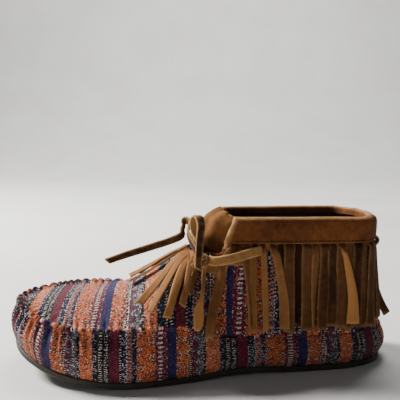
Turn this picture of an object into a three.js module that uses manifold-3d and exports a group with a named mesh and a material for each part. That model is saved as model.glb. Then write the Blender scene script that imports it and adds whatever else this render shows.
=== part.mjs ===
// Fringed moccasin ankle boot, left foot. Millimetres, +Z up, heel towards +X, inner side of the foot +Y.
import * as THREE from 'three';
import { mergeVertices } from 'three/addons/utils/BufferGeometryUtils.js';
import Module from 'manifold-3d';

const wasm = await Module();
wasm.setup();

// Driving sizes of the foot and the sole
const SOLE_LENGTH = 253.5;
const BALL_WIDTH = 92;
const SOLE_THICKNESS = 4;
const SOLE_EDGE_ROUND = 1.1;
const TOE_SPRING = 15;
const ARCH_LIFT = 1.6;
const LUG_GROOVE_WIDTH = 2.4;
const LUG_GROOVE_DEPTH = 1.3;
const LUG_PITCH = 11;
const INSOLE_THICKNESS = 3;

// Driving sizes of the upper
const WALL = 1.8;
const BALL_SEAM_HEIGHT = 35;
const INSTEP_HEIGHT = 79;
const COLLAR_HEIGHT = 100.4;
const COLLAR_WIDTH = 60;
const COLLAR_BACK_RADIUS = 17.4;
const BAND_SWELL = 4.2;
const BAND_FOOT_INSET = 0.6;
const SEAM_RIDGE = 2;
const ANKLE_HOLLOW = 2.2;

// Driving sizes of the suede pieces
const CUFF_LEATHER = 1.4;
const CUFF_OUTER_DROP = 14.4;
const CUFF_INNER_DROP = 10;
const FRINGE_LEATHER = 1.2;
const HEADER_TOP_DROP = 4.6;
const HEADER_DEPTH = 14.6;
const STRIP_WIDTH = 5.3;
const STRIP_END_HEIGHT = 30;
const ANKLE_STRIPS = 44;
const TONGUE_LEATHER = 1.8;
const TONGUE_HALF_WIDTH = 20;
const TONGUE_PEAK_HEIGHT = 106.5;

// Driving sizes of the lace
const LACE_WIDTH = 5.6;
const LACE_LEATHER = 1.8;
const KNOT_SIZE = 10;
const HEEL_LOOP_REACH = 5;

// Clearance between pieces that touch, and between leather layers that lie on each other
const GAP = 0.3;
const LAYER_GAP = 0.5;

// Places along the sole, as shares of its length from heel to toe
const HEEL_HUB = 0.115;
const TOE_HUB = 0.827;
const COLLAR_FRONT = 0.4398;
const THROAT_FOOT = 0.4635;
const THROAT_BASE = 0.5385;
const ARCH_TO_SHAFT_FRONT = 0.593;
const ARCH_TO_SHAFT_BACK = 0.43;
const SPRING_START = 0.674;
const ARCH_START = 0.285;
const ARCH_END = 0.55;
const INSTEP_RISES = 0.6;
const FOREFOOT_FLAT = 0.75;

// Half widths of the sole, as shares of the ball width
const FOOTPRINT = [
  { along: 0.000, lateral: 0.000, medial: 0.000 },
  { along: 0.006, lateral: 0.096, medial: 0.096 },
  { along: 0.024, lateral: 0.185, medial: 0.185 },
  { along: 0.065, lateral: 0.272, medial: 0.272 },
  { along: 0.135, lateral: 0.332, medial: 0.328 },
  { along: 0.237, lateral: 0.353, medial: 0.342 },
  { along: 0.339, lateral: 0.370, medial: 0.326 },
  { along: 0.440, lateral: 0.402, medial: 0.315 },
  { along: 0.542, lateral: 0.457, medial: 0.348 },
  { along: 0.644, lateral: 0.511, medial: 0.435 },
  { along: 0.715, lateral: 0.527, medial: 0.473 },
  { along: 0.796, lateral: 0.505, medial: 0.478 },
  { along: 0.868, lateral: 0.446, medial: 0.446 },
  { along: 0.929, lateral: 0.337, medial: 0.380 },
  { along: 0.970, lateral: 0.207, medial: 0.293 },
  { along: 0.992, lateral: 0.065, medial: 0.180 },
  { along: 1.000, lateral: -0.065, medial: 0.065 },
];

// Height of the gathered seam, as shares of its height at the ball, and its place inside the sole's edge,
// as shares of the ball width
const SEAM = [
  { along: 0.000, lateral: 0.73, medial: 0.73, inset: 0.014 },
  { along: 0.288, lateral: 0.72, medial: 0.72, inset: 0.018 },
  { along: 0.410, lateral: 0.73, medial: 0.74, inset: 0.022 },
  { along: 0.471, lateral: 0.79, medial: 0.82, inset: 0.028 },
  { along: 0.532, lateral: 0.91, medial: 0.97, inset: 0.036 },
  { along: 0.593, lateral: 1.04, medial: 1.13, inset: 0.044 },
  { along: 0.654, lateral: 1.03, medial: 1.21, inset: 0.050 },
  { along: 0.746, lateral: 0.985, medial: 1.26, inset: 0.052 },
  { along: 0.847, lateral: 1.01, medial: 1.27, inset: 0.050 },
  { along: 0.929, lateral: 1.09, medial: 1.26, inset: 0.044 },
  { along: 1.000, lateral: 1.19, medial: 1.19, inset: 0.040 },
];

// Height of the ridge line of the foot in front of the throat, as shares of the instep height, and the
// side shift of that line, as shares of the ball width
const CREST = [
  { along: 0.000, up: 1.290, shift: 0.000 },
  { along: 0.390, up: 1.290, shift: 0.000 },
  { along: 0.5385, up: 1.000, shift: 0.000 },
  { along: 0.593, up: 0.884, shift: 0.004 },
  { along: 0.644, up: 0.778, shift: 0.012 },
  { along: 0.695, up: 0.688, shift: 0.020 },
  { along: 0.756, up: 0.616, shift: 0.028 },
  { along: 0.827, up: 0.588, shift: 0.034 },
  { along: 1.000, up: 0.550, shift: 0.040 },
];

// Half width and height of the top line, from the throat round to the heel, as shares of the collar's
const TOP_LINE = [
  { along: 0.115, half: 0.488, up: 1.000 },
  { along: 0.215, half: 0.500, up: 1.000 },
  { along: 0.314, half: 0.493, up: 1.000 },
  { along: 0.3925, half: 0.463, up: 1.000 },
  { along: COLLAR_FRONT, half: 0.417, up: 1.000 },
  { along: 0.4515, half: 0.400, up: 0.893 },
  { along: THROAT_FOOT, half: 0.375, up: 0.790 },
  { along: 0.481, half: 0.337, up: 0.776 },
  { along: 0.499, half: 0.292, up: 0.774 },
  { along: 0.5187, half: 0.208, up: 0.777 },
  { along: 0.5325, half: 0.125, up: 0.782 },
  { along: THROAT_BASE, half: 0.000, up: 0.787 },
];

const mix = (a, b, share) => a + (b - a) * share;
const clamp = (value, low = 0, high = 1) => Math.min(high, Math.max(low, value));
const smooth = (share) => clamp(share) ** 2 * (3 - 2 * clamp(share));
const xAt = (along) => SOLE_LENGTH * (0.5 - along);
const alongAt = (x) => 0.5 - x / SOLE_LENGTH;
const spot = (x, y, z) => new THREE.Vector3(x, y, z);

// A smooth line through one column of a table, flat where the column turns back
function column(rows, name) {
  const xs = rows.map((row) => row.along);
  const ys = rows.map((row) => row[name]);
  const rise = xs.slice(1).map((x, i) => (ys[i + 1] - ys[i]) / (x - xs[i]));
  const slopes = xs.map((_, i) => {
    if (i === 0) return rise[0];
    if (i === xs.length - 1) return rise[i - 1];
    return rise[i - 1] * rise[i] <= 0 ? 0 : (2 * rise[i - 1] * rise[i]) / (rise[i - 1] + rise[i]);
  });
  return (along) => {
    const at = clamp(along, xs[0], xs[xs.length - 1]);
    let i = 0;
    while (i < xs.length - 2 && at > xs[i + 1]) i += 1;
    const width = xs[i + 1] - xs[i];
    const share = (at - xs[i]) / width;
    const back = share - 1;
    return ys[i] * (1 + 2 * share) * back * back + ys[i + 1] * share * share * (3 - 2 * share)
      + width * (slopes[i] * share * back * back + slopes[i + 1] * share * share * back);
  };
}

const seamLateral = column(SEAM, 'lateral');
const seamMedial = column(SEAM, 'medial');
const seamInset = column(SEAM, 'inset');
const crestUp = column(CREST, 'up');
const crestShift = column(CREST, 'shift');
const topHalf = column(TOP_LINE, 'half');
const topUp = column(TOP_LINE, 'up');

// The sole's outline, once round, and the distance to it from a point inside along a direction
const OUTLINE_STEPS = 480;
const outlineCurve = new THREE.CatmullRomCurve3([
  ...FOOTPRINT.map((row) => spot(xAt(row.along), -row.lateral * BALL_WIDTH, 0)),
  ...FOOTPRINT.slice(1, -1).reverse().map((row) => spot(xAt(row.along), row.medial * BALL_WIDTH, 0)),
], true, 'centripetal');
const outline = outlineCurve.getPoints(OUTLINE_STEPS);

function reachToEdge(hub, way) {
  for (let i = 0; i < OUTLINE_STEPS; i += 1) {
    const from = outline[i];
    const edge = outline[i + 1].clone().sub(from);
    const cross = way.x * edge.y - way.y * edge.x;
    if (Math.abs(cross) < 1e-9) continue;
    const gap = from.clone().sub(hub);
    const reach = (gap.x * edge.y - gap.y * edge.x) / cross;
    const share = (gap.x * way.y - gap.y * way.x) / cross;
    if (reach > 0 && share >= 0 && share <= 1) return reach;
  }
  return 0;
}

// Lift of the sole's underside: an arch in the waist and the spring of the toe
function underside(x) {
  const along = alongAt(x);
  const spring = TOE_SPRING * clamp((along - SPRING_START) / (1 - SPRING_START)) ** 2;
  const waist = ARCH_LIFT * smooth((along - ARCH_START) / 0.1) * smooth((ARCH_END - along) / 0.1);
  return spring + waist;
}
const soleTop = (x) => underside(x) + SOLE_THICKNESS;

// A station is one upright half section. Its turn runs 0 to 1 round the heel's outer half, to 2 along the
// outer side, to 3 round the toe, to 4 back along the inner side, and to 5 round the heel's inner half.
const TURNS = 5;
const stationCache = new Map();

function stationAt(turnGiven) {
  const turn = ((turnGiven % TURNS) + TURNS) % TURNS;
  const key = turn.toFixed(5);
  if (stationCache.has(key)) return stationCache.get(key);
  let hubAlong = HEEL_HUB;
  let quarter = turn;
  if (turn > 4) {
    quarter = 3 + (turn - 4);
  } else if (turn > 3) {
    hubAlong = mix(TOE_HUB, HEEL_HUB, turn - 3);
    quarter = 3;
  } else if (turn > 2) {
    hubAlong = TOE_HUB;
    quarter = 1 + 2 * (turn - 2);
  } else if (turn > 1) {
    hubAlong = mix(HEEL_HUB, TOE_HUB, turn - 1);
    quarter = 1;
  }
  const bearing = (-Math.PI / 2) * quarter;
  const way = spot(Math.cos(bearing), Math.sin(bearing), 0);
  const hub = spot(xAt(hubAlong), crestShift(hubAlong) * BALL_WIDTH, 0);
  const reach = reachToEdge(hub, way);
  const edgeX = hub.x + way.x * reach;
  const along = alongAt(edgeX);
  const medialShare = (1 + way.y) / 2;
  const seamUp = mix(seamLateral(along), seamMedial(along), medialShare) * BALL_SEAM_HEIGHT;
  const half = topHalf(hubAlong) * COLLAR_WIDTH;
  const oval = (half * COLLAR_BACK_RADIUS) / Math.hypot(half * way.x, COLLAR_BACK_RADIUS * way.y);
  const inFront = hubAlong > THROAT_BASE - 1e-4;
  const station = {
    hub,
    way,
    reach,
    along,
    hubAlong,
    floor: soleTop(edgeX) + GAP,
    seamReach: reach - seamInset(along) * BALL_WIDTH,
    seamUp,
    topReach: inFront ? 0 : oval,
    topUp: inFront ? crestUp(hubAlong) * INSTEP_HEIGHT : topUp(hubAlong) * COLLAR_HEIGHT,
    inFront,
    shaft: smooth((ARCH_TO_SHAFT_FRONT - hubAlong) / (ARCH_TO_SHAFT_FRONT - ARCH_TO_SHAFT_BACK)),
    flat: smooth((hubAlong - INSTEP_RISES) / (FOREFOOT_FLAT - INSTEP_RISES)),
  };
  stationCache.set(key, station);
  return station;
}

const outerTurn = (along) => 1 + (along - HEEL_HUB) / (TOE_HUB - HEEL_HUB);
const innerTurn = (along) => 4 - (along - HEEL_HUB) / (TOE_HUB - HEEL_HUB);

// The section of a station. Climb runs 0 to 1 up the band, and 1 to 2 from the seam to the top line.
function sectionAt(station, climb) {
  if (climb <= 1) {
    const share = Math.max(0, climb);
    const swell = BAND_SWELL * Math.sin(Math.PI * share);
    return {
      out: mix(station.reach - BAND_FOOT_INSET, station.seamReach, share) + swell,
      up: mix(station.floor, station.seamUp, share),
    };
  }
  const share = Math.min(1, climb - 1);
  const angle = (share * Math.PI) / 2;
  const across = mix(Math.cos(angle), 1 - share, Math.max(station.shaft, station.flat));
  const rise = mix(mix(Math.sin(angle), 1 - (1 - share) ** 2, station.flat), share, station.shaft);
  const hollow = ANKLE_HOLLOW * station.shaft * Math.sin(Math.PI * share);
  return {
    out: mix(station.topReach, station.seamReach, across) - hollow,
    up: mix(station.seamUp, station.topUp, rise),
  };
}

function placed(station, section) {
  return station.way.clone().multiplyScalar(section.out).add(station.hub).setZ(section.up);
}

const bare = (turn, climb) => placed(stationAt(turn), sectionAt(stationAt(turn), climb));

// The outward direction of the upper's skin, from its own slopes
const TURN_STEP = 0.004;
const CLIMB_STEP = 0.01;
const POLE_MARGIN = 0.03;

function outwardAt(turn, climb) {
  const low = Math.max(0, climb - CLIMB_STEP);
  const high = Math.min(2, climb + CLIMB_STEP);
  const steady = Math.min(climb, 2 - POLE_MARGIN);
  const along = bare(turn + TURN_STEP, steady).sub(bare(turn - TURN_STEP, steady));
  const upward = bare(turn, high).sub(bare(turn, low));
  return upward.cross(along).normalize();
}

const skin = (turn, climb, lift) => bare(turn, climb).addScaledVector(outwardAt(turn, climb), lift);

// Collects faces, welds them and gives one closed geometry with its faces outwards
class Faces {
  constructor() {
    this.corners = [];
  }

  triangle(a, b, c) {
    const flat = b.clone().sub(a).cross(c.clone().sub(a)).length() < 1e-7;
    if (!flat) this.corners.push(a, b, c);
  }

  // Rows of points with the same count each; every cell becomes two triangles
  grid(rows, flip = false) {
    for (let i = 0; i < rows.length - 1; i += 1) {
      for (let j = 0; j < rows[i].length - 1; j += 1) {
        const [a, b, c, d] = [rows[i][j], rows[i][j + 1], rows[i + 1][j + 1], rows[i + 1][j]];
        if (flip) {
          this.triangle(a, c, b);
          this.triangle(a, d, c);
        } else {
          this.triangle(a, b, c);
          this.triangle(a, c, d);
        }
      }
    }
  }

  geometry() {
    const flatList = this.corners.flatMap((corner) => [corner.x, corner.y, corner.z]);
    const loose = new THREE.BufferGeometry();
    loose.setAttribute('position', new THREE.Float32BufferAttribute(flatList, 3));
    return outwards(mergeVertices(loose, 1e-3));
  }
}

function signedVolume(geometry) {
  const place = geometry.attributes.position;
  const index = geometry.index;
  const [a, b, c] = [spot(0, 0, 0), spot(0, 0, 0), spot(0, 0, 0)];
  let sum = 0;
  for (let i = 0; i < index.count; i += 3) {
    a.fromBufferAttribute(place, index.getX(i));
    b.fromBufferAttribute(place, index.getX(i + 1));
    c.fromBufferAttribute(place, index.getX(i + 2));
    sum += a.dot(b.cross(c)) / 6;
  }
  return sum;
}

function outwards(geometry) {
  if (signedVolume(geometry) < 0) {
    const order = Array.from(geometry.index.array);
    for (let i = 0; i < order.length; i += 3) [order[i + 1], order[i + 2]] = [order[i + 2], order[i + 1]];
    geometry.setIndex(order);
  }
  return geometry;
}

// Cut and join by way of solids
function toSolid(geometry) {
  const plain = geometry.clone();
  plain.deleteAttribute('normal');
  plain.deleteAttribute('uv');
  const merged = mergeVertices(plain, 1e-4);
  return new wasm.Manifold(new wasm.Mesh({
    numProp: 3,
    vertProperties: new Float32Array(merged.attributes.position.array),
    triVerts: new Uint32Array(merged.index.array),
  }));
}

function fromSolid(solid) {
  const mesh = solid.getMesh();
  const geometry = new THREE.BufferGeometry();
  geometry.setAttribute('position', new THREE.BufferAttribute(new Float32Array(mesh.vertProperties), 3));
  geometry.setIndex(Array.from(mesh.triVerts));
  return geometry;
}

// Turns of the stations, once round, with the same places along both sides
const HEEL_TURNS = [0, 0.125, 0.25, 0.375, 0.5, 0.625, 0.75, 0.875];
const TOE_TURNS = [0, 0.12, 0.24, 0.36, 0.5, 0.64, 0.76, 0.88];
const ANKLE_PLACES = [HEEL_HUB, 0.155, 0.197, 0.24, 0.282, 0.322, 0.36, 0.395, 0.42];
const THROAT_PLACES = [COLLAR_FRONT, 0.4515, THROAT_FOOT, 0.481, 0.499, 0.5187, 0.5325, THROAT_BASE];
const VAMP_PLACES = [0.555, 0.575, 0.602, 0.636, 0.675, 0.715, 0.754, 0.792];
const sideTurns = [...ANKLE_PLACES, ...THROAT_PLACES, ...VAMP_PLACES].map(outerTurn);
const roundTurns = [
  ...HEEL_TURNS,
  ...sideTurns,
  ...TOE_TURNS.map((share) => 2 + share),
  3,
  ...sideTurns.slice().reverse().map((turn) => 5 - turn),
  ...HEEL_TURNS.slice(1).reverse().map((share) => 5 - share),
];
const closedTurns = [...roundTurns, TURNS];

// Flat pieces that follow the sole's outline. Rings run from the middle line to the edge.
const RING_SHARES = [0, 0.6];

function plateRing(inset, share, height) {
  return closedTurns.map((turn) => {
    const station = stationAt(turn);
    const reach = share < 1 ? station.reach * share : station.reach - inset;
    const place = station.way.clone().multiplyScalar(reach).add(station.hub);
    return place.setZ(height(place.x));
  });
}

function plate(edgeRings, topInset, bottomInset, top, bottom) {
  const faces = new Faces();
  faces.grid([
    ...RING_SHARES.map((share) => plateRing(bottomInset, share, bottom)),
    ...edgeRings.map((ring) => plateRing(ring.inset, 1, ring.height)),
    ...RING_SHARES.slice().reverse().map((share) => plateRing(topInset, share, top)),
  ]);
  return faces.geometry();
}

function outsole() {
  const round = SOLE_EDGE_ROUND;
  const body = plate([
    { inset: round, height: underside },
    { inset: 0, height: (x) => underside(x) + round },
    { inset: 0, height: (x) => soleTop(x) - round / 2 },
    { inset: round / 2, height: soleTop },
  ], round / 2, round, soleTop, underside);
  let solid = toSolid(body);
  const grooves = [
    { from: 0.045, count: 5, slant: 0 },
    { from: 0.60, count: 7, slant: 0.06 },
  ];
  for (const group of grooves) {
    for (let i = 0; i < group.count; i += 1) {
      const x = xAt(group.from) - LUG_PITCH * (i + 0.5);
      const cutter = new THREE.BoxGeometry(LUG_GROOVE_WIDTH, BALL_WIDTH * 0.62, LUG_GROOVE_DEPTH * 2);
      cutter.rotateZ(group.slant);
      cutter.translate(x, 0, underside(x));
      solid = solid.subtract(toSolid(cutter));
    }
  }
  return fromSolid(solid);
}

function insole() {
  const inset = BAND_FOOT_INSET + WALL + 2 * GAP;
  const low = (x) => soleTop(x) + LAYER_GAP;
  const high = (x) => low(x) + INSOLE_THICKNESS;
  return plate([{ inset, height: low }, { inset, height: high }], inset, inset, high, low);
}

// The upper: outer skin with the raised seam, inner skin, and the two rims
const BAND_CLIMBS = [0, 0.26, 0.6, 0.9];
const RISE_CLIMBS = [1.06, 1.22, 1.42, 1.64, 1.84, 2];

function seamLift(turn, climb) {
  const along = stationAt(turn).along;
  const gathered = mix(0.25, 1, smooth((along - 0.47) / 0.08));
  return Math.abs(climb - 1) < 1e-6 ? SEAM_RIDGE * gathered : 0;
}

// How much longer a wall is when measured upright through the sloping ridge line
function crestStretch(along) {
  const step = 0.004;
  const rise = (crestUp(along + step) - crestUp(along - step)) * INSTEP_HEIGHT;
  return Math.hypot(1, rise / (2 * step * SOLE_LENGTH));
}

function upper() {
  const climbs = [...BAND_CLIMBS, 1, ...RISE_CLIMBS];
  const outer = climbs.map((climb) => closedTurns.map((turn) => skin(turn, climb, seamLift(turn, climb))));
  const inner = climbs.map((climb) => closedTurns.map((turn) => {
    const place = skin(turn, climb, -WALL);
    return climb === 0 ? place.setZ(stationAt(turn).floor) : place;
  }));
  const top = climbs.length - 1;
  closedTurns.forEach((turn, i) => {
    if (!stationAt(turn).inFront) return;
    const middle = bare(turn, 2).clone();
    outer[top][i] = middle;
    inner[top][i] = middle.clone().setZ(middle.z - WALL * crestStretch(stationAt(turn).hubAlong));
  });
  const faces = new Faces();
  faces.grid(outer);
  faces.grid(inner, true);
  faces.grid([outer[0], inner[0]], true);
  for (let i = 0; i < closedTurns.length - 1; i += 1) {
    const ends = [i, i + 1];
    const closed = ends.every((end) => stationAt(closedTurns[end]).inFront);
    if (!closed) faces.grid([outer[top], inner[top]].map((line) => ends.map((end) => line[end])));
  }
  return faces.geometry();
}

// Places on the ankle for the cuff and the fringe, by turn, height above the floor, and lift sideways off
// the upper's wall. The front edge slants with the throat.
const throatFootHeight = topUp(THROAT_FOOT) * COLLAR_HEIGHT;

function frontAlong(height) {
  const share = clamp((height - throatFootHeight) / (COLLAR_HEIGHT - throatFootHeight));
  return mix(THROAT_FOOT, COLLAR_FRONT, share);
}

function climbAtHeight(station, height) {
  let [low, high] = [0, 2];
  for (let i = 0; i < 24; i += 1) {
    const middle = (low + high) / 2;
    if (sectionAt(station, middle).up < height) low = middle;
    else high = middle;
  }
  return (low + high) / 2;
}

function onSide(turn, height, lift) {
  const station = stationAt(turn);
  const climb = climbAtHeight(station, Math.min(height, station.topUp - 0.01));
  const sideways = outwardAt(turn, climb).setZ(0).normalize();
  return bare(turn, climb).addScaledVector(sideways, lift).setZ(height);
}

// A closed section of height and lift pairs carried round the ankle, with slanting front ends
const backTurns = [...HEEL_TURNS, ...ANKLE_PLACES.map(outerTurn)];
const lastPlace = ANKLE_PLACES[ANKLE_PLACES.length - 1];

function aroundAnkle(section) {
  const loop = [...section, section[0]];
  const row = (turnFor) => loop.map((point) => onSide(turnFor(point.height), point.height, point.lift));
  const frontTurn = (height, share) => outerTurn(mix(lastPlace, frontAlong(height), share));
  const rows = [
    ...[1, 0.5].map((share) => row((height) => frontTurn(height, share))),
    ...backTurns.slice(1).reverse().map((turn) => row(() => turn)),
    ...backTurns.map((turn) => row(() => TURNS - turn)),
    ...[0.5, 1].map((share) => row((height) => TURNS - frontTurn(height, share))),
  ];
  const faces = new Faces();
  faces.grid(rows);
  const flatSection = section.map((point) => new THREE.Vector2(point.lift, point.height));
  const caps = THREE.ShapeUtils.triangulateShape(flatSection, []);
  const last = rows[rows.length - 1];
  for (const [a, b, c] of caps) {
    faces.triangle(rows[0][a], rows[0][c], rows[0][b]);
    faces.triangle(last[a], last[b], last[c]);
  }
  return faces.geometry();
}

const headerLow = COLLAR_HEIGHT - HEADER_TOP_DROP - HEADER_DEPTH;
const headerHigh = COLLAR_HEIGHT - HEADER_TOP_DROP;
const headerOut = LAYER_GAP + FRINGE_LEATHER;

// The folded suede cuff: outer leaf over the fringe's header, fold over the collar, inner leaf inside
function cuff() {
  const outerFoot = COLLAR_HEIGHT - CUFF_OUTER_DROP;
  const innerFoot = COLLAR_HEIGHT - CUFF_INNER_DROP;
  const overHeader = headerOut + LAYER_GAP;
  const thick = CUFF_LEATHER;
  const foldTop = COLLAR_HEIGHT + LAYER_GAP + thick;
  const inside = -WALL - LAYER_GAP;
  return aroundAnkle([
    { height: outerFoot, lift: overHeader },
    { height: outerFoot - 0.3, lift: overHeader + thick / 2 },
    { height: outerFoot + 0.4, lift: overHeader + thick },
    { height: mix(outerFoot, foldTop, 0.75), lift: overHeader + thick - 0.6 },
    { height: foldTop - thick, lift: LAYER_GAP + thick },
    { height: foldTop - 0.3, lift: LAYER_GAP * 0.5 },
    { height: foldTop, lift: -WALL / 2 },
    { height: foldTop - 0.3, lift: inside + LAYER_GAP * 0.5 },
    { height: foldTop - thick, lift: inside - thick },
    { height: innerFoot, lift: inside - thick },
    { height: innerFoot, lift: inside },
    { height: foldTop - thick, lift: inside },
    { height: foldTop - thick, lift: LAYER_GAP },
    { height: headerHigh + 1.6, lift: LAYER_GAP },
    { height: headerHigh + GAP, lift: overHeader },
  ]);
}

// A flat leather strip: centre points, the way across it and the way off its face at each point
function strap(path, width, thickness, rootThickness) {
  const faces = new Faces();
  const rows = path.map(({ centre, across, face }, i) => {
    const side = across.clone().normalize().multiplyScalar(width / 2);
    const off = face.clone().normalize().multiplyScalar((i === 0 ? rootThickness : thickness) / 2);
    const corner = (a, b) => centre.clone().addScaledVector(side, a).addScaledVector(off, b);
    const loop = [corner(-1, -1), corner(1, -1), corner(1, 1), corner(-1, 1)];
    return [...loop, loop[0]];
  });
  faces.grid(rows);
  const last = rows[rows.length - 1];
  faces.grid([[rows[0][0], rows[0][1]], [rows[0][3], rows[0][2]]], true);
  faces.grid([[last[0], last[1]], [last[3], last[2]]]);
  return faces.geometry();
}

// Even, repeatable unevenness between -1 and 1 for the strips' lean
const uneven = (index, salt) => {
  const wave = Math.sin(index * 12.9898 + salt * 78.233) * 43758.5453;
  return 2 * (wave - Math.floor(wave)) - 1;
};

// Turns at even distances along the header's lower edge, from its outer front end round the heel
const HEADER_SAMPLES = 160;
const headerEdge = (() => {
  const front = outerTurn(frontAlong(headerLow));
  const turns = Array.from({ length: HEADER_SAMPLES + 1 }, (_, i) => front * (1 - (2 * i) / HEADER_SAMPLES));
  const lengths = [0];
  for (let i = 1; i <= HEADER_SAMPLES; i += 1) {
    const step = onSide(turns[i], headerLow, headerOut).distanceTo(onSide(turns[i - 1], headerLow, headerOut));
    lengths.push(lengths[i - 1] + step);
  }
  return { turns, lengths };
})();

function turnAtShare(share) {
  const { turns, lengths } = headerEdge;
  const wanted = share * lengths[HEADER_SAMPLES];
  let i = 1;
  while (i < HEADER_SAMPLES && lengths[i] < wanted) i += 1;
  return mix(turns[i - 1], turns[i], (wanted - lengths[i - 1]) / (lengths[i] - lengths[i - 1]));
}

// One strip that hangs from the header on the ankle; the strip at the back flicks outwards
const STRIP_LIFT = headerOut - FRINGE_LEATHER / 2;
const STRIP_ROOT = 3;
const FLICK_SHARE = 0.455;
const FLICK_REACH = 7;
const ROOT_THICKNESS = 0.4;

function ankleStrip(share) {
  const index = Math.round(share * 1000);
  const turn = turnAtShare(share);
  const lean = 0.01 * uneven(index, 1);
  const foot = STRIP_END_HEIGHT + 2.5 * uneven(index, 2) + 5 * smooth((0.35 - Math.abs(turn)) / 0.3);
  const swing = 1.3 + uneven(index, 3);
  const flick = Math.abs(share - FLICK_SHARE) < 0.5 / ANKLE_STRIPS ? FLICK_REACH : 0;
  const heights = [headerLow + STRIP_ROOT, headerLow - STRIP_ROOT, mix(headerLow, foot, 0.55), foot];
  const path = heights.map((height, i) => {
    const down = i / (heights.length - 1);
    const at = turn + lean * down;
    const lift = STRIP_LIFT + swing * Math.sin(Math.PI * 0.8 * down) + flick * down ** 4;
    const across = onSide(at + 0.01, height, lift).sub(onSide(at - 0.01, height, lift));
    return { centre: onSide(at, height, lift), across, face: across.clone().cross(spot(0, 0, 1)) };
  });
  return strap(path, STRIP_WIDTH, FRINGE_LEATHER, ROOT_THICKNESS);
}

// Strips that fan forward over the instep: from and to places along the sole and climbs on the skin
const FAN = [
  { from: 0.556, fromClimb: 1.94, to: 0.695, toClimb: 1.86, rise: 1.2 },
  { from: 0.554, fromClimb: 1.88, to: 0.672, toClimb: 1.34, rise: 1.4 },
  { from: 0.552, fromClimb: 1.81, to: 0.649, toClimb: 1.22, rise: 1.8 },
  { from: 0.550, fromClimb: 1.75, to: 0.613, toClimb: 1.12, rise: 2.2 },
  { from: 0.5325, fromClimb: 1.76, to: 0.578, toClimb: 1.22, rise: 2.4 },
  { from: 0.520, fromClimb: 1.74, to: 0.546, toClimb: 1.12, rise: 2.6 },
  { from: 0.506, fromClimb: 1.76, to: 0.532, toClimb: 1.02, rise: 2.8 },
  { from: 0.491, fromClimb: 1.79, to: 0.503, toClimb: 0.98, rise: 2.6 },
];
const FAN_STEPS = [0, 0.16, 0.55, 1];
const FAN_LIFT = 0.8;
const SEAM_CLEAR = 1.08;

function fanStrip(row, side) {
  const turnOf = side < 0 ? outerTurn : innerTurn;
  const places = FAN_STEPS.map((share) => {
    const turn = turnOf(mix(row.from, row.to, share));
    const climb = Math.min(2, mix(row.fromClimb, row.toClimb, share ** 1.15));
    const lift = STRIP_LIFT + FAN_LIFT + row.rise * Math.sin(Math.PI * 0.75 * share);
    return { centre: skin(turn, climb, lift), face: outwardAt(turn, Math.max(climb, SEAM_CLEAR)) };
  });
  const path = places.map(({ centre, face }, i) => {
    const ahead = places[Math.min(i + 1, places.length - 1)].centre;
    const behind = places[Math.max(i - 1, 0)].centre;
    return { centre, face, across: face.clone().cross(ahead.clone().sub(behind)) };
  });
  return strap(path, STRIP_WIDTH, FRINGE_LEATHER, ROOT_THICKNESS);
}

// The bands that hold the strips beside and in front of the throat: places along the sole with the climbs
// of the lower and upper edge
const APRON_LIFT = 0.8;
const APRON_FRONT = [0.5435, 0.555, 0.567];
const APRON_FRONT_CLIMBS = [1.72, 1.84, 1.93, 2];
const APRON_SIDE = [
  { along: 0.4515, low: 1.765, high: 1.890 },
  { along: 0.4635, low: 1.800, high: 1.930 },
  { along: 0.4810, low: 1.700, high: 1.900 },
  { along: 0.4990, low: 1.660, high: 1.900 },
  { along: 0.5187, low: 1.660, high: 1.900 },
  { along: 0.5325, low: 1.660, high: 1.900 },
  { along: 0.5490, low: 1.660, high: 1.900 },
];

function apronFront() {
  const across = (along) => [
    ...APRON_FRONT_CLIMBS.map((climb) => [outerTurn(along), climb]),
    ...APRON_FRONT_CLIMBS.slice(0, -1).reverse().map((climb) => [innerTurn(along), climb]),
  ];
  const sheet = (lift) => APRON_FRONT.map((along) => (
    across(along).map(([turn, climb]) => skin(turn, climb, lift))
  ));
  return closedSheet(sheet(headerOut + APRON_LIFT + 0.2), sheet(LAYER_GAP + APRON_LIFT - 0.2));
}

function apronSide(side) {
  const turnOf = side < 0 ? outerTurn : innerTurn;
  const sheet = (lift) => APRON_SIDE.map(({ along, low, high }) => (
    [low, mix(low, high, 0.5), high].map((climb) => skin(turnOf(along), climb, lift))
  ));
  return closedSheet(sheet(headerOut + APRON_LIFT), sheet(LAYER_GAP + APRON_LIFT));
}

// Edges shorter than this are closed up after the pieces are joined
const SLIVER = 0.03;

// Two sheets of the same rows and columns joined round their edges
function closedSheet(face, back) {
  const faces = new Faces();
  const rows = face.length - 1;
  const columns = face[0].length - 1;
  faces.grid(face);
  faces.grid(back, true);
  faces.grid([face[0], back[0]], true);
  faces.grid([face[rows], back[rows]]);
  faces.grid([face.map((row) => row[0]), back.map((row) => row[0])]);
  faces.grid([face.map((row) => row[columns]), back.map((row) => row[columns])], true);
  return faces.geometry();
}

function fringe() {
  const header = aroundAnkle([
    { height: headerLow, lift: LAYER_GAP },
    { height: headerLow, lift: headerOut },
    { height: headerHigh, lift: headerOut },
    { height: headerHigh, lift: LAYER_GAP },
  ]);
  let solid = toSolid(header);
  const pieces = [apronFront(), apronSide(-1), apronSide(1)];
  for (let i = 0; i < ANKLE_STRIPS; i += 1) pieces.push(ankleStrip((i + 0.5) / ANKLE_STRIPS));
  for (const side of [-1, 1]) FAN.forEach((row) => pieces.push(fanStrip(row, side)));
  for (const piece of pieces) solid = solid.add(toSolid(piece));
  const bodies = solid.asOriginal().simplify(SLIVER).decompose();
  return fromSolid(bodies.sort((a, b) => b.volume() - a.volume())[0]);
}

// The upper's inner face above a place, lowered by the clearance
const UNDER_MARGIN = 2;
const RIM_MARGIN = 4;

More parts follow.
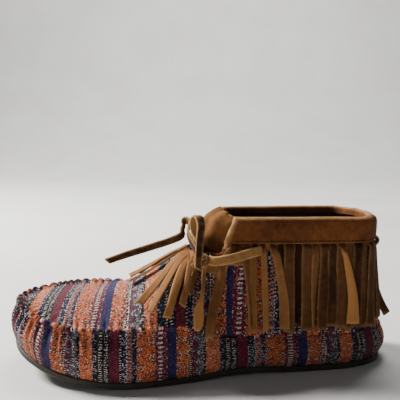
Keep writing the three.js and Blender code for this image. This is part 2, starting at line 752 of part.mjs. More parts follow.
function ceiling(x, y) {
  const turnOf = y < 0 ? outerTurn : innerTurn;
  const station = stationAt(turnOf(alongAt(x)));
  const out = Math.abs(y - station.hub.y);
  if (out < station.topReach - RIM_MARGIN) return Infinity;
  let [low, high] = [1, 2];
  for (let i = 0; i < 24; i += 1) {
    const middle = (low + high) / 2;
    if (sectionAt(station, middle).out > out) low = middle;
    else high = middle;
  }
  const upright = Math.max(0.35, outwardAt(turnOf(alongAt(x)), low).z);
  return sectionAt(station, low).up - (WALL + GAP + UNDER_MARGIN) / upright;
}

// The tongue's middle line, foot to peak, as shares of the sole's length and of the peak's height; how far
// its sides fall back and down, and its half width, as shares of the tongue's half width. The rows that lie
// under the upper follow its inner face.
const TONGUE = [
  { along: 0.6050, up: 1.000, back: 0.00, drop: 0.00, wide: 1.00, under: true },
  { along: 0.5750, up: 1.000, back: 0.00, drop: 0.00, wide: 1.00, under: true },
  { along: 0.5520, up: 1.000, back: 0.08, drop: 0.00, wide: 0.98, under: true },
  { along: 0.5385, up: 0.722, back: 0.25, drop: 0.00, wide: 0.94, under: true },
  { along: 0.5280, up: 0.732, back: 0.55, drop: 0.00, wide: 0.90, under: true },
  { along: 0.5190, up: 0.761, back: 0.86, drop: 0.06, wide: 0.90, under: false },
  { along: 0.5165, up: 0.812, back: 0.92, drop: 0.02, wide: 0.92, under: false },
  { along: 0.5108, up: 0.873, back: 0.92, drop: 0.02, wide: 0.93, under: false },
  { along: 0.5010, up: 0.930, back: 0.85, drop: 0.10, wide: 0.93, under: false },
  { along: 0.4790, up: 0.974, back: 0.66, drop: 0.24, wide: 0.90, under: false },
  { along: 0.4556, up: 1.000, back: 0.40, drop: 0.42, wide: 0.84, under: false },
];
const TONGUE_ACROSS = [-1, -0.8, -0.55, -0.28, 0, 0.28, 0.55, 0.8, 1];

function tongue() {
  const point = (row, across) => {
    const x = xAt(row.along) + row.back * across ** 2 * TONGUE_HALF_WIDTH;
    const y = across * row.wide * TONGUE_HALF_WIDTH;
    const z = row.up * TONGUE_PEAK_HEIGHT - row.drop * Math.abs(across) ** 1.6 * TONGUE_HALF_WIDTH;
    return spot(x, y, row.under ? Math.min(z, ceiling(x, y)) : z);
  };
  const insideFoot = spot(0, 0, INSTEP_HEIGHT / 3);
  const face = TONGUE.map((row) => TONGUE_ACROSS.map((across) => point(row, across)));
  const back = face.map((line, i) => line.map((place, j) => {
    const ahead = face[Math.min(i + 1, face.length - 1)][j];
    const behind = face[Math.max(i - 1, 0)][j];
    const left = line[Math.max(j - 1, 0)];
    const right = line[Math.min(j + 1, line.length - 1)];
    const inward = ahead.clone().sub(behind).cross(right.clone().sub(left)).normalize();
    if (inward.dot(insideFoot.clone().sub(place)) < 0) inward.negate();
    return place.clone().addScaledVector(inward, TONGUE_LEATHER);
  }));
  return closedSheet(face, back);
}

// Places of the lace, as shares of the sole's length, the collar's width and the collar's height
const laceSpot = ({ along, side, up }) => spot(xAt(along), side * COLLAR_WIDTH, up * COLLAR_HEIGHT);

// The lace's bars: over the header from the outer slit to the knot, and from the knot over the tongue's
// foot to the inner slit
const OUTER_BAR = [
  { along: 0.3720, side: -0.522, up: 0.813 },
  { along: 0.3860, side: -0.545, up: 0.809 },
  { along: 0.4083, side: -0.560, up: 0.803 },
  { along: 0.4517, side: -0.560, up: 0.783 },
  { along: 0.4911, side: -0.525, up: 0.761 },
  { along: 0.4985, side: -0.505, up: 0.757 },
];
const INNER_BAR = [
  { along: 0.5215, side: -0.385, up: 0.785 },
  { along: 0.5300, side: -0.230, up: 0.812 },
  { along: 0.5350, side: 0.000, up: 0.836 },
  { along: 0.5290, side: 0.270, up: 0.822 },
  { along: 0.5080, side: 0.480, up: 0.782 },
  { along: 0.4770, side: 0.570, up: 0.776 },
  { along: 0.4517, side: 0.600, up: 0.783 },
  { along: 0.4083, side: 0.600, up: 0.803 },
  { along: 0.3720, side: 0.560, up: 0.813 },
];

function laceBar(rows) {
  const centres = rows.map(laceSpot);
  const path = centres.map((centre, i) => {
    const onward = centres[Math.min(i + 1, centres.length - 1)].clone().sub(centres[Math.max(i - 1, 0)]);
    const face = onward.clone().cross(spot(0, 0, 1)).normalize();
    return { centre, across: onward.clone().cross(face), face };
  });
  return strap(path, LACE_WIDTH, LACE_LEATHER, LACE_LEATHER);
}

// The lace's loop at the back of the heel, standing out from the header
const HEEL_LOOP = [
  { out: 0.00, up: 1.0 },
  { out: 0.72, up: 0.8 },
  { out: 1.00, up: 0.2 },
  { out: 0.80, up: -0.5 },
  { out: 0.14, up: -0.8 },
];

function heelLoop() {
  const wall = onSide(0, headerLow, headerOut).x + LACE_LEATHER - GAP / 3;
  const centres = HEEL_LOOP.map((row) => (
    spot(wall + row.out * HEEL_LOOP_REACH, 0, headerLow + row.up * HEEL_LOOP_REACH * 0.75)
  ));
  const path = centres.map((centre, i) => {
    const onward = centres[Math.min(i + 1, centres.length - 1)].clone().sub(centres[Math.max(i - 1, 0)]);
    return { centre, across: spot(0, 1, 0), face: spot(0, 1, 0).cross(onward) };
  });
  return strap(path, LACE_WIDTH, LACE_LEATHER, LACE_LEATHER);
}

// The knot, and the flat lace cord along hand laid routes
const KNOT_PLACE = { along: 0.5168, side: -0.483, up: 0.752 };
const LOOP_ROUTE = [
  { along: 0.5216, side: -0.362, up: 0.852 },
  { along: 0.5325, side: -0.303, up: 0.905 },
  { along: 0.5375, side: -0.290, up: 0.965 },
  { along: 0.5345, side: -0.320, up: 1.010 },
  { along: 0.5270, side: -0.395, up: 1.015 },
  { along: 0.5235, side: -0.450, up: 0.970 },
  { along: 0.5272, side: -0.500, up: 0.896 },
  { along: 0.5316, side: -0.565, up: 0.797 },
  { along: 0.5345, side: -0.590, up: 0.707 },
];
const END_ROUTE = [
  { along: 0.5305, side: -0.420, up: 0.789 },
  { along: 0.5400, side: -0.330, up: 0.835 },
  { along: 0.5490, side: -0.200, up: 0.895 },
  { along: 0.5450, side: -0.110, up: 0.960 },
  { along: 0.5540, side: -0.075, up: 0.965 },
  { along: 0.5590, side: -0.065, up: 0.915 },
  { along: 0.5640, side: -0.050, up: 0.862 },
  { along: 0.5870, side: -0.025, up: 0.830 },
  { along: 0.6450, side: 0.000, up: 0.780 },
  { along: 0.7050, side: 0.015, up: 0.732 },
  { along: 0.7594, side: 0.000, up: 0.687 },
];
const CORD_SIDES = 8;

function knot() {
  const ball = new THREE.IcosahedronGeometry(KNOT_SIZE / 2, 1);
  ball.deleteAttribute('normal');
  ball.deleteAttribute('uv');
  ball.scale(0.9, 0.85, 1);
  const place = laceSpot(KNOT_PLACE);
  ball.translate(place.x, place.y, place.z);
  return outwards(mergeVertices(ball, 1e-3));
}

function cord(route, steps, flatTurn) {
  const section = new THREE.Shape();
  for (let i = 0; i < CORD_SIDES; i += 1) {
    const angle = ((i + 0.5) / CORD_SIDES) * Math.PI * 2;
    const corner = new THREE.Vector2(Math.cos(angle) * LACE_WIDTH * 0.5, Math.sin(angle) * LACE_LEATHER * 0.5);
    corner.rotateAround(new THREE.Vector2(0, 0), flatTurn);
    if (i === 0) section.moveTo(corner.x, corner.y);
    else section.lineTo(corner.x, corner.y);
  }
  section.closePath();
  const path = new THREE.CatmullRomCurve3(route.map(laceSpot), false, 'centripetal');
  const geometry = new THREE.ExtrudeGeometry(section, { steps, extrudePath: path, bevelEnabled: false });
  geometry.deleteAttribute('normal');
  geometry.deleteAttribute('uv');
  return outwards(mergeVertices(geometry, 1e-3));
}

const suede = { color: 0x8f5c2c, roughness: 0.95 };
const PIECES = [
  { name: 'outsole', make: outsole, color: 0x3b332b, roughness: 0.8 },
  { name: 'insole', make: insole, color: 0x6b6259, roughness: 0.95 },
  { name: 'upper', make: upper, color: 0xa8665a, roughness: 0.9 },
  { name: 'tongue', make: tongue, ...suede },
  { name: 'cuff', make: cuff, ...suede },
  { name: 'fringe', make: fringe, ...suede },
  { name: 'lace_bar_outer', make: () => laceBar(OUTER_BAR), ...suede },
  { name: 'lace_bar_inner', make: () => laceBar(INNER_BAR), ...suede },
  { name: 'lace_heel_loop', make: heelLoop, ...suede },
  { name: 'lace_knot', free: true, make: knot, ...suede },
  { name: 'lace_loop', free: true, make: () => cord(LOOP_ROUTE, 16, 0), ...suede },
  { name: 'lace_end', free: true, make: () => cord(END_ROUTE, 20, Math.PI / 2), ...suede },
];

const boot = new THREE.Group();
const firmBox = new THREE.Box3();
for (const piece of PIECES) {
  const material = new THREE.MeshStandardMaterial({
    color: piece.color,
    roughness: piece.roughness,
    metalness: 0,
  });
  const mesh = new THREE.Mesh(piece.make(), material);
  mesh.name = piece.name;
  if (!piece.free) firmBox.expandByObject(mesh);
  boot.add(mesh);
}

// The origin lies on the floor under the middle of the boot, its free lace left out
const middle = firmBox.getCenter(spot(0, 0, 0));
boot.position.set(-middle.x, -middle.y, -firmBox.min.z);

export default boot;
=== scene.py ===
import math
import bmesh
import bpy
import numpy as np
from mathutils import Matrix


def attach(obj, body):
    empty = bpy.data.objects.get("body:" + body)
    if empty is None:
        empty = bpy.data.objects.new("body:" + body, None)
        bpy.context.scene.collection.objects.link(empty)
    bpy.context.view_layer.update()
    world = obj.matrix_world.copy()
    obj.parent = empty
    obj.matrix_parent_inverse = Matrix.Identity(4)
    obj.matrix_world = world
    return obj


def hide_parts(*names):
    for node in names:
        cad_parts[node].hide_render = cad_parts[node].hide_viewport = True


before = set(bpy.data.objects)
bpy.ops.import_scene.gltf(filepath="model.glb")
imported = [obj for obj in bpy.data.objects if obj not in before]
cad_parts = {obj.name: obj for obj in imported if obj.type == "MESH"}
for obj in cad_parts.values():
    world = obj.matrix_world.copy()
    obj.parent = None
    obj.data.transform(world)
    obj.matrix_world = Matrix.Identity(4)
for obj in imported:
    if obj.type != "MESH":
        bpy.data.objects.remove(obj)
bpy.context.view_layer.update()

# Sizes of the boot in millimetres, as in the solids
MM = 0.001
UP = np.array([0.0, 0.0, 1.0])
MIDDLE = np.array([-1.163, 2.159, 0.0])
SOLE_LENGTH = 253.5
BALL_WIDTH = 92.0
SOLE_THICKNESS = 4.0
TOE_SPRING, SPRING_START = 15.0, 0.674
ARCH_LIFT, ARCH_START, ARCH_END, ARCH_EASE = 1.6, 0.285, 0.55, 0.1
INSOLE_THICKNESS = 3.0
WALL = 1.8
BALL_SEAM_HEIGHT = 35.0
INSTEP_HEIGHT = 79.0
COLLAR_HEIGHT = 100.4
COLLAR_WIDTH = 60.0
COLLAR_BACK_RADIUS = 17.4
BAND_SWELL = 4.2
BAND_FOOT_INSET = 0.6
ANKLE_HOLLOW = 2.2
CUFF_LEATHER = 1.4
CUFF_OUTER_DROP = 14.4
CUFF_INNER_DROP = 10.0
FRINGE_LEATHER = 1.2
HEADER_LOW = 81.2
HEADER_HIGH = 95.8
HEADER_OUT = 1.7
STRIP_LIFT = 1.1
STRIP_WIDTH = 5.3
STRIP_END_HEIGHT = 30.0
ANKLE_STRIPS = 44
TONGUE_LEATHER = 1.8
TONGUE_HALF_WIDTH = 20.0
TONGUE_PEAK_HEIGHT = 106.5
LACE_WIDTH = 5.6
LACE_LEATHER = 1.8
GAP = 0.3
LAYER_GAP = 0.5
HEEL_HUB, TOE_HUB = 0.115, 0.827
COLLAR_FRONT, THROAT_FOOT, THROAT_BASE = 0.4398, 0.4635, 0.5385
ARCH_TO_SHAFT_FRONT, ARCH_TO_SHAFT_BACK = 0.593, 0.43
INSTEP_RISES, FOREFOOT_FLAT = 0.6, 0.75

# Half widths of the sole on the outer and inner side, as shares of the ball width
FOOTPRINT = [(0, 0, 0), (.006, .096, .096), (.024, .185, .185), (.065, .272, .272), (.135, .332, .328),
             (.237, .353, .342), (.339, .370, .326), (.440, .402, .315), (.542, .457, .348), (.644, .511, .435),
             (.715, .527, .473), (.796, .505, .478), (.868, .446, .446), (.929, .337, .380), (.970, .207, .293),
             (.992, .065, .180), (1, -.065, .065)]
# Height of the seam on both sides and how far it lies inside the edge
SEAM = [(0, .73, .73, .014), (.288, .72, .72, .018), (.410, .73, .74, .022), (.471, .79, .82, .028),
        (.532, .91, .97, .036), (.593, 1.04, 1.13, .044), (.654, 1.03, 1.21, .050), (.746, .985, 1.26, .052),
        (.847, 1.01, 1.27, .050), (.929, 1.09, 1.26, .044), (1, 1.19, 1.19, .040)]
# Height of the ridge and its shift to the side
CREST = [(0, 1.29, 0), (.39, 1.29, 0), (.5385, 1, 0), (.593, .884, .004), (.644, .778, .012), (.695, .688, .020),
         (.756, .616, .028), (.827, .588, .034), (1, .550, .040)]
# Half width and height of the collar and the throat
TOP_LINE = [(.115, .488, 1), (.215, .5, 1), (.314, .493, 1), (.3925, .463, 1), (.4398, .417, 1),
            (.4515, .400, .893), (.4635, .375, .790), (.481, .337, .776), (.499, .292, .774),
            (.5187, .208, .777), (.5325, .125, .782), (.5385, 0, .787)]


def mix(a, b, share):
    return a + (b - a) * share


def smooth(value):
    value = np.clip(value, 0, 1)
    return value * value * (3 - 2 * value)


def unit(vectors):
    return vectors / np.maximum(np.linalg.norm(vectors, axis=-1, keepdims=True), 1e-9)


def run_along(line):
    """The way from the start of a line to each of its points."""
    return np.concatenate([[0], np.cumsum(np.linalg.norm(np.diff(line, axis=0), axis=1))])


def spans(*parts):
    """Evenly spaced values over spans that meet end to end."""
    lines = [np.linspace(*part) for part in parts]
    return np.concatenate(lines[:1] + [line[1:] for line in lines[1:]])


def halved(low, high, rounds, goes_up):
    """Closes in on the value up to which goes_up holds."""
    for _ in range(rounds):
        middle = (low + high) / 2
        up = goes_up(middle)
        low, high = np.where(up, middle, low), np.where(up, high, middle)
    return low, high


def turned(ahead, face, twist):
    """The way across a strip that is twisted about its own length."""
    return ahead * np.cos(twist)[:, None] + face * np.sin(twist)[:, None]


def column(rows, which):
    """A smooth line through one column of a table that never overshoots."""
    xs = np.array([row[0] for row in rows], float)
    ys = np.array([row[which] for row in rows], float)
    rise = np.diff(ys) / np.diff(xs)
    slope = np.concatenate([rise[:1], np.zeros(len(xs) - 2), rise[-1:]])
    for i in range(1, len(xs) - 1):
        if rise[i - 1] * rise[i] > 0:
            slope[i] = 2 * rise[i - 1] * rise[i] / (rise[i - 1] + rise[i])

    def at(value):
        value = np.clip(value, xs[0], xs[-1])
        i = np.clip(np.searchsorted(xs, value, side="right") - 1, 0, len(xs) - 2)
        width = xs[i + 1] - xs[i]
        s = (value - xs[i]) / width
        back = s - 1
        return (ys[i] * (1 + 2 * s) * back ** 2 + ys[i + 1] * s * s * (3 - 2 * s)
                + width * (slope[i] * s * back ** 2 + slope[i + 1] * s * s * back))
    return at


seam_lateral, seam_medial, seam_inset = (column(SEAM, i) for i in (1, 2, 3))
crest_up, crest_shift = column(CREST, 1), column(CREST, 2)
top_half, top_up = column(TOP_LINE, 1), column(TOP_LINE, 2)


def x_at(along):
    return SOLE_LENGTH * (0.5 - along)


def along_at(x):
    return 0.5 - x / SOLE_LENGTH


def curve_through(points, closed, steps):
    """A rounded line through points, the same as in the solids."""
    points = np.asarray(points, float)
    count = len(points)
    spans = count if closed else count - 1
    line = []
    for k in range(steps + 1):
        place = spans * k / steps
        i = min(int(place), spans - 1) if not closed else int(place)
        s = place - i
        if closed:
            a, b, c, d = (points[(i + j) % count] for j in (-1, 0, 1, 2))
        else:
            b, c = points[i], points[i + 1]
            a = points[i - 1] if i > 0 else 2 * b - c
            d = points[i + 2] if i + 2 < count else 2 * c - b
        t0, t1, t2 = (max(np.linalg.norm(q - p) ** 0.5, 1e-6) for p, q in ((a, b), (b, c), (c, d)))
        m1 = ((b - a) / t0 - (c - a) / (t0 + t1) + (c - b) / t1) * t1
        m2 = ((c - b) / t1 - (d - b) / (t1 + t2) + (d - c) / t2) * t1
        line.append(b + m1 * s + (-3 * b + 3 * c - 2 * m1 - m2) * s ** 2 + (2 * b - 2 * c + m1 + m2) * s ** 3)
    return np.array(line)


outline = curve_through(
    [(x_at(a), -lateral * BALL_WIDTH) for a, lateral, _ in FOOTPRINT]
    + [(x_at(a), medial * BALL_WIDTH) for a, _, medial in FOOTPRINT[-2:0:-1]], True, 480)


def hub_and_way(turn):
    """Turns go from 0 at the heel along the outer side (1 to 2), round the toe and back along the inner side
    (3 to 4) to 5."""
    turn = np.mod(turn, 5)
    back, inner, toe, outer = turn > 4, turn > 3, turn > 2, turn > 1
    hub = np.select([back, inner, toe, outer], [HEEL_HUB + 0 * turn, mix(TOE_HUB, HEEL_HUB, turn - 3),
                    TOE_HUB + 0 * turn, mix(HEEL_HUB, TOE_HUB, turn - 1)], HEEL_HUB)
    quarter = np.select([back, inner, toe, outer], [turn - 1, 3 + 0 * turn, 1 + 2 * (turn - 2), 1 + 0 * turn], turn)
    bearing = -math.pi / 2 * quarter
    return hub, np.cos(bearing), np.sin(bearing)


def measure_reach(turns):
    hub, wx, wy = hub_and_way(turns)
    start, edge = outline[:-1], np.diff(outline, axis=0)
    gx = start[None, :, 0] - x_at(hub)[:, None]
    gy = start[None, :, 1] - (crest_shift(hub) * BALL_WIDTH)[:, None]
    cross = wx[:, None] * edge[:, 1] - wy[:, None] * edge[:, 0]
    cross = np.where(np.abs(cross) < 1e-9, 1e-9, cross)
    reach = (gx * edge[:, 1] - gy * edge[:, 0]) / cross
    share = (gx * wy[:, None] - gy * wx[:, None]) / cross
    good = (reach > 0) & (share >= -1e-6) & (share <= 1 + 1e-6)
    return np.where(good, reach, 1e9).min(axis=1)


REACH_TURNS = np.linspace(0, 5, 4001)
REACHES = measure_reach(REACH_TURNS)


def underside(x):
    along = along_at(x)
    spring = TOE_SPRING * np.clip((along - SPRING_START) / (1 - SPRING_START), 0, 1) ** 2
    return spring + ARCH_LIFT * smooth((along - ARCH_START) / ARCH_EASE) * smooth((ARCH_END - along) / ARCH_EASE)


class Station:
    """Upright half sections at the given turns round the foot."""

    def __init__(self, turn):
        turn = np.asarray(turn, float)
        self.hub_along, self.wx, self.wy = hub_and_way(turn)
        self.hx, self.hy = x_at(self.hub_along), crest_shift(self.hub_along) * BALL_WIDTH
        self.reach = np.interp(np.mod(turn, 5), REACH_TURNS, REACHES)
        edge_x = self.hx + self.wx * self.reach
        self.along = along_at(edge_x)
        self.seam_up = mix(seam_lateral(self.along), seam_medial(self.along), (1 + self.wy) / 2) * BALL_SEAM_HEIGHT
        self.front = self.hub_along > THROAT_BASE - 1e-4
        self.floor = underside(edge_x) + SOLE_THICKNESS + GAP
        self.seam_reach = self.reach - seam_inset(self.along) * BALL_WIDTH
        half = top_half(self.hub_along) * COLLAR_WIDTH
        oval = half * COLLAR_BACK_RADIUS / np.hypot(half * self.wx, COLLAR_BACK_RADIUS * self.wy)
        self.top_reach = np.where(self.front, 0, oval)
        self.top_up = np.where(self.front, crest_up(self.hub_along) * INSTEP_HEIGHT,
                               top_up(self.hub_along) * COLLAR_HEIGHT)
        self.shaft = smooth((ARCH_TO_SHAFT_FRONT - self.hub_along) / (ARCH_TO_SHAFT_FRONT - ARCH_TO_SHAFT_BACK))
        self.flat = smooth((self.hub_along - INSTEP_RISES) / (FOREFOOT_FLAT - INSTEP_RISES))

    def section(self, climb):
        """Reach and height at a climb, which is 0 at the sole, 1 at the seam and 2 at the top."""
        low = np.clip(climb, 0, 1)
        out_low = mix(self.reach - BAND_FOOT_INSET, self.seam_reach, low) + BAND_SWELL * np.sin(math.pi * low)
        up_low = mix(self.floor, self.seam_up, low)
        share = np.clip(climb - 1, 0, 1)
        angle = share * math.pi / 2
        across = mix(np.cos(angle), 1 - share, np.maximum(self.shaft, self.flat))
        rise = mix(mix(np.sin(angle), 1 - (1 - share) ** 2, self.flat), share, self.shaft)
        out_high = mix(self.top_reach, self.seam_reach, across) - ANKLE_HOLLOW * self.shaft * np.sin(math.pi * share)
        up_high = mix(self.seam_up, self.top_up, rise)
        return np.where(climb <= 1, out_low, out_high), np.where(climb <= 1, up_low, up_high)

    def place(self, climb):
        out, up = self.section(climb)
        return np.stack([self.hx + self.wx * out, self.hy + self.wy * out, up + 0 * out], axis=-1)


def bare(turn, climb):
    turn, climb = np.broadcast_arrays(np.asarray(turn, float), np.asarray(climb, float))
    return Station(turn).place(climb)


def outward(turn, climb):
    turn, climb = np.broadcast_arrays(np.asarray(turn, float), np.asarray(climb, float))
    steady = np.minimum(climb, 1.97)
    along = bare(turn + 0.004, steady) - bare(turn - 0.004, steady)
    upward = bare(turn, np.minimum(2, climb + 0.01)) - bare(turn, np.maximum(0, climb - 0.01))
    return unit(np.cross(upward, along))


def skin(turn, climb, lift):
    return bare(turn, climb) + outward(turn, climb) * np.asarray(lift, float)[..., None]


def outer_turn(along):
    return 1 + (along - HEEL_HUB) / (TOE_HUB - HEEL_HUB)


def inner_turn(along):
    return 4 - (along - HEEL_HUB) / (TOE_HUB - HEEL_HUB)


def side_turn(side, along):
    return np.where(side < 0, outer_turn(along), inner_turn(along))


throat_foot_height = top_up(THROAT_FOOT) * COLLAR_HEIGHT


def front_along(height):
    share = np.clip((height - throat_foot_height) / (COLLAR_HEIGHT - throat_foot_height), 0, 1)
    return mix(THROAT_FOOT, COLLAR_FRONT, share)


def on_side(turn, height, lift):
    """A place on the ankle at a height, lifted sideways off the wall."""
    turn, height, lift = np.broadcast_arrays(*(np.asarray(v, float) for v in (turn, height, lift)))
    station = Station(turn)
    wanted = np.minimum(height, station.top_up - 0.01)
    low, high = halved(np.zeros_like(turn), np.full_like(turn, 2.0), 22,
                       lambda climb: station.section(climb)[1] < wanted)
    climb = (low + high) / 2
    sideways = outward(turn, climb)
    sideways[..., 2] = 0
    place = station.place(climb) + unit(sideways) * lift[..., None]
    place[..., 2] = height
    return place


def uneven(index, salt):
    wave = np.sin(index * 12.9898 + salt * 78.233) * 43758.5453
    return 2 * (wave - np.floor(wave)) - 1


def ripple(a, b, salt=0.0):
    """Soft unevenness between about -1 and 1 over two coordinates in millimetres."""
    return (np.sin(a / 9.1 + 1.7 * np.sin(b / 13 + salt) + salt)
            + 0.6 * np.sin(b / 6.3 + 1.3 * np.sin(a / 11 + 2 * salt))
            + 0.4 * np.sin((a + b) / 3.7 + 3 * salt)) / 2


def linked(name, data):
    made = bpy.data.objects.new(name, data)
    bpy.context.collection.objects.link(made)
    return made


def stood(side, top, back, place):
    """The matrix of a camera or lamp from its three ways and its place."""
    return Matrix([[side[i], top[i], back[i], place[i]] for i in range(3)] + [[0, 0, 0, 1]])


RIBBON_POINTS = 7
FIRST_ROW, LAST_ROW = (0,), (-1,)
FIRST_COLUMN, LAST_COLUMN = (slice(None), 0), (slice(None), -1)


class Cloths:
    """Collects grids of points and makes one piece of them."""

    def __init__(self):
        self.places, self.faces, self.kinds = [], [], []
        self.chart, self.tone, self.edge = [], [], []
        self.count = 0

    def add(self, places, chart=None, tone=0.5, edge=0.0):
        shape = places.shape[:-1]
        first = self.count
        self.places.append(places.reshape(-1, 3))
        self.chart.append(np.zeros((*shape, 2)).reshape(-1, 2) if chart is None else chart.reshape(-1, 2))
        self.tone.append(np.broadcast_to(tone, shape).reshape(-1))
        self.edge.append(np.broadcast_to(edge, shape).reshape(-1))
        self.count += int(np.prod(shape))
        return np.arange(first, self.count).reshape(shape)

    def cells(self, index, kind=0, flip=False):
        quads = np.stack([index[:-1, :-1], index[:-1, 1:], index[1:, 1:], index[1:, :-1]], axis=-1).reshape(-1, 4)
        if flip:
            quads = quads[:, ::-1]
        self.faces.extend(quads.tolist())
        self.kinds.extend([kind] * len(quads))

    def rims(self, face, back, *which):
        """Joins the named borders of two grids."""
        for rim in which:
            self.cells(np.stack([face[rim], back[rim]]))

    def grid(self, places, kind=0, flip=False, **more):
        index = self.add(places, **more)
        self.cells(index, kind, flip)
        return index

    def cap(self, ring):
        self.faces.append(list(ring))
        self.kinds.append(0)

    def piece(self, name, materials, slot, *nodes):
        places = (np.concatenate(self.places) + MIDDLE) * MM
        mesh = bpy.data.meshes.new(name)
        mesh.from_pydata(places.tolist(), [], self.faces)
        corner = np.empty(len(mesh.loops), dtype=np.int32)
        mesh.loops.foreach_get("vertex_index", corner)
        mesh.uv_layers.new(name="chart").data.foreach_set("uv", np.concatenate(self.chart)[corner].ravel())
        for key, values in (("tone", self.tone), ("edge", self.edge)):
            mesh.attributes.new(key, "FLOAT", "POINT").data.foreach_set("value", np.concatenate(values))
        mesh.polygons.foreach_set("material_index", self.kinds)
        made = bmesh.new()
        made.from_mesh(mesh)
        bmesh.ops.remove_doubles(made, verts=made.verts, dist=0.00002)
        bmesh.ops.recalc_face_normals(made, faces=made.faces)
        for face in made.faces:
            face.smooth = True
        made.to_mesh(mesh)
        made.free()
        for material in materials:
            mesh.materials.append(material)
        made = linked(name, mesh)
        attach(made, "root")
        if nodes:
            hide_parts(*nodes)
        return made

    def ribbon(self, centre, across, face, width, thick, curl=0.0, tone=0.5, slant=0.0):
        """A flat strip along a line, its edges and end painted lighter, as wear and as painted highlight."""
        tangent = unit(np.gradient(centre, axis=0))
        across = unit(across - (across * tangent).sum(-1, keepdims=True) * tangent)
        normal = np.cross(across, tangent)
        normal = normal * np.where((normal * face).sum(-1, keepdims=True) < 0, -1, 1)
        width = np.broadcast_to(width, len(centre))
        curl = np.broadcast_to(curl, len(centre))
        s = np.linspace(-1, 1, RIBBON_POINTS)
        reach = np.concatenate([s, s[::-1]])
        side = np.concatenate([np.ones(RIBBON_POINTS), -np.ones(RIBBON_POINTS)])
        off = side * thick / 2 * (1 - 0.45 * np.abs(reach) ** 5)
        ring = (centre[:, None] + across[:, None] * (reach[None, :, None] * width[:, None, None] / 2)
                + normal[:, None] * (off[None, :, None] + curl[:, None, None] * reach[None, :, None] ** 2))
        pull = np.zeros(len(centre))
        pull[-1], pull[-2] = 1.0, 0.5
        ring = ring + tangent[:, None] * (pull[:, None, None] * slant * reach[None, :, None])
        # Edges and the far end are painted lighter: wear and painted highlight
        edge = np.broadcast_to(np.abs(reach) ** 6, ring.shape[:-1]).copy()
        edge[-1] = 1
        index = self.add(ring, tone=np.broadcast_to(np.reshape(tone, (-1, 1)), ring.shape[:-1]), edge=edge)
        closed = np.concatenate([index, index[:, :1]], axis=1)
        self.cells(closed)
        self.cap(index[0][::-1])
        self.cap(index[-1])

    def tube(self, centre, radius, sides, closed=False):
        """A round cord along a line."""
        tangent = unit(np.gradient(centre, axis=0))
        if closed:
            tangent[0] = tangent[-1] = unit(centre[1] - centre[-2])
        first = unit(np.cross(tangent, UP))
        second = np.cross(tangent, first)
        angle = np.linspace(0, 2 * math.pi, sides + 1)
        radius = np.broadcast_to(radius, len(centre))
        ring = centre[:, None] + radius[:, None, None] * (
            first[:, None] * np.cos(angle)[None, :, None] + second[:, None] * np.sin(angle)[None, :, None])
        index = self.add(ring)
        self.cells(index)
        if not closed:
            self.cap(index[0][:-1][::-1])
            self.cap(index[-1][:-1])


def sum_of(kind, reflected=False):
    if reflected:
        return lambda value, other: value.board.math(kind, other, value)
    return lambda value, *others: value.math(kind, *others)


# Shader sums written as Python
class Value:
    def __init__(self, board, socket):
        self.board, self.socket = board, socket

    def math(self, kind, *others):
        return self.board.math(kind, self, *others)

    __add__ = __radd__ = sum_of("ADD")
    __mul__ = __rmul__ = sum_of("MULTIPLY")
    __sub__, __rsub__ = sum_of("SUBTRACT"), sum_of("SUBTRACT", True)
    __truediv__, __rtruediv__ = sum_of("DIVIDE"), sum_of("DIVIDE", True)
    __gt__, __lt__ = sum_of("GREATER_THAN"), sum_of("LESS_THAN")
    __abs__, fraction, whole = sum_of("ABSOLUTE"), sum_of("FRACT"), sum_of("FLOOR")

    def held(self):
        return self.math("MINIMUM", 1.0).math("MAXIMUM", 0.0)

    def output(self, which):
        """The same node's other output."""
        return Value(self.board, self.socket.node.outputs[which])


class Board:
    """One material and the nodes on it."""

    def __init__(self, name, **settings):
        self.material = bpy.data.materials.new(name)
        self.material.use_nodes = True
        self.nodes, self.links = self.material.node_tree.nodes, self.material.node_tree.links
        self.shader = self.nodes["Principled BSDF"]
        for key, value in settings.items():
            self.shader.inputs[key.replace("_", " ")].default_value = value

    def plug(self, socket, value):
        if isinstance(value, Value):
            self.links.new(value.socket, socket)
        else:
            socket.default_value = value

    def node(self, kind, inputs=(), out=0, **settings):
        node = self.nodes.new(kind)
        for key, value in settings.items():
            setattr(node, key, value)
        for key, value in dict(inputs).items():
            self.plug(node.inputs[key], value)
        return Value(self, node.outputs[out])

    def math(self, kind, *values):
        return self.node("ShaderNodeMath", enumerate(values), operation=kind)

    def mix(self, factor, a, b):
        return self.node("ShaderNodeMix", {0: factor, 6: a, 7: b}, out=2, data_type="RGBA")

    def noise(self, scale, detail=3.0, rough=0.6):
        return self.node("ShaderNodeTexNoise",
                         {"Vector": self.place(), "Scale": scale, "Detail": detail, "Roughness": rough})

    def place(self):
        return self.node("ShaderNodeTexCoord", out="Object")

    def value(self, name):
        return self.node("ShaderNodeAttribute", out="Fac", attribute_name=name)

    def ramp(self, factor, stops):
        made = self.node("ShaderNodeValToRGB", {"Fac": factor})
        ramp = made.socket.node.color_ramp
        ramp.interpolation = "CONSTANT"
        for start, colour in stops[1:]:
            ramp.elements.new(start).color = colour
        ramp.elements[0].position, ramp.elements[0].color = stops[0]
        last = ramp.elements[len(ramp.elements) - 1]
        last.position, last.color = 1.0, stops[-1][1]
        return made

    def finish(self, colour, roughness, height, depth, strength=1.0):
        self.plug(self.shader.inputs["Base Color"], colour)
        self.plug(self.shader.inputs["Roughness"], roughness)
        bump = self.node("ShaderNodeBump", {"Height": height, "Distance": depth, "Strength": strength})
        self.plug(self.shader.inputs["Normal"], bump)
        return self.material


def shade(red, green, blue):
    """A colour given as it looks on a screen, 0 to 255."""
    return (*((c / 255) ** 2.2 for c in (red, green, blue)), 1.0)


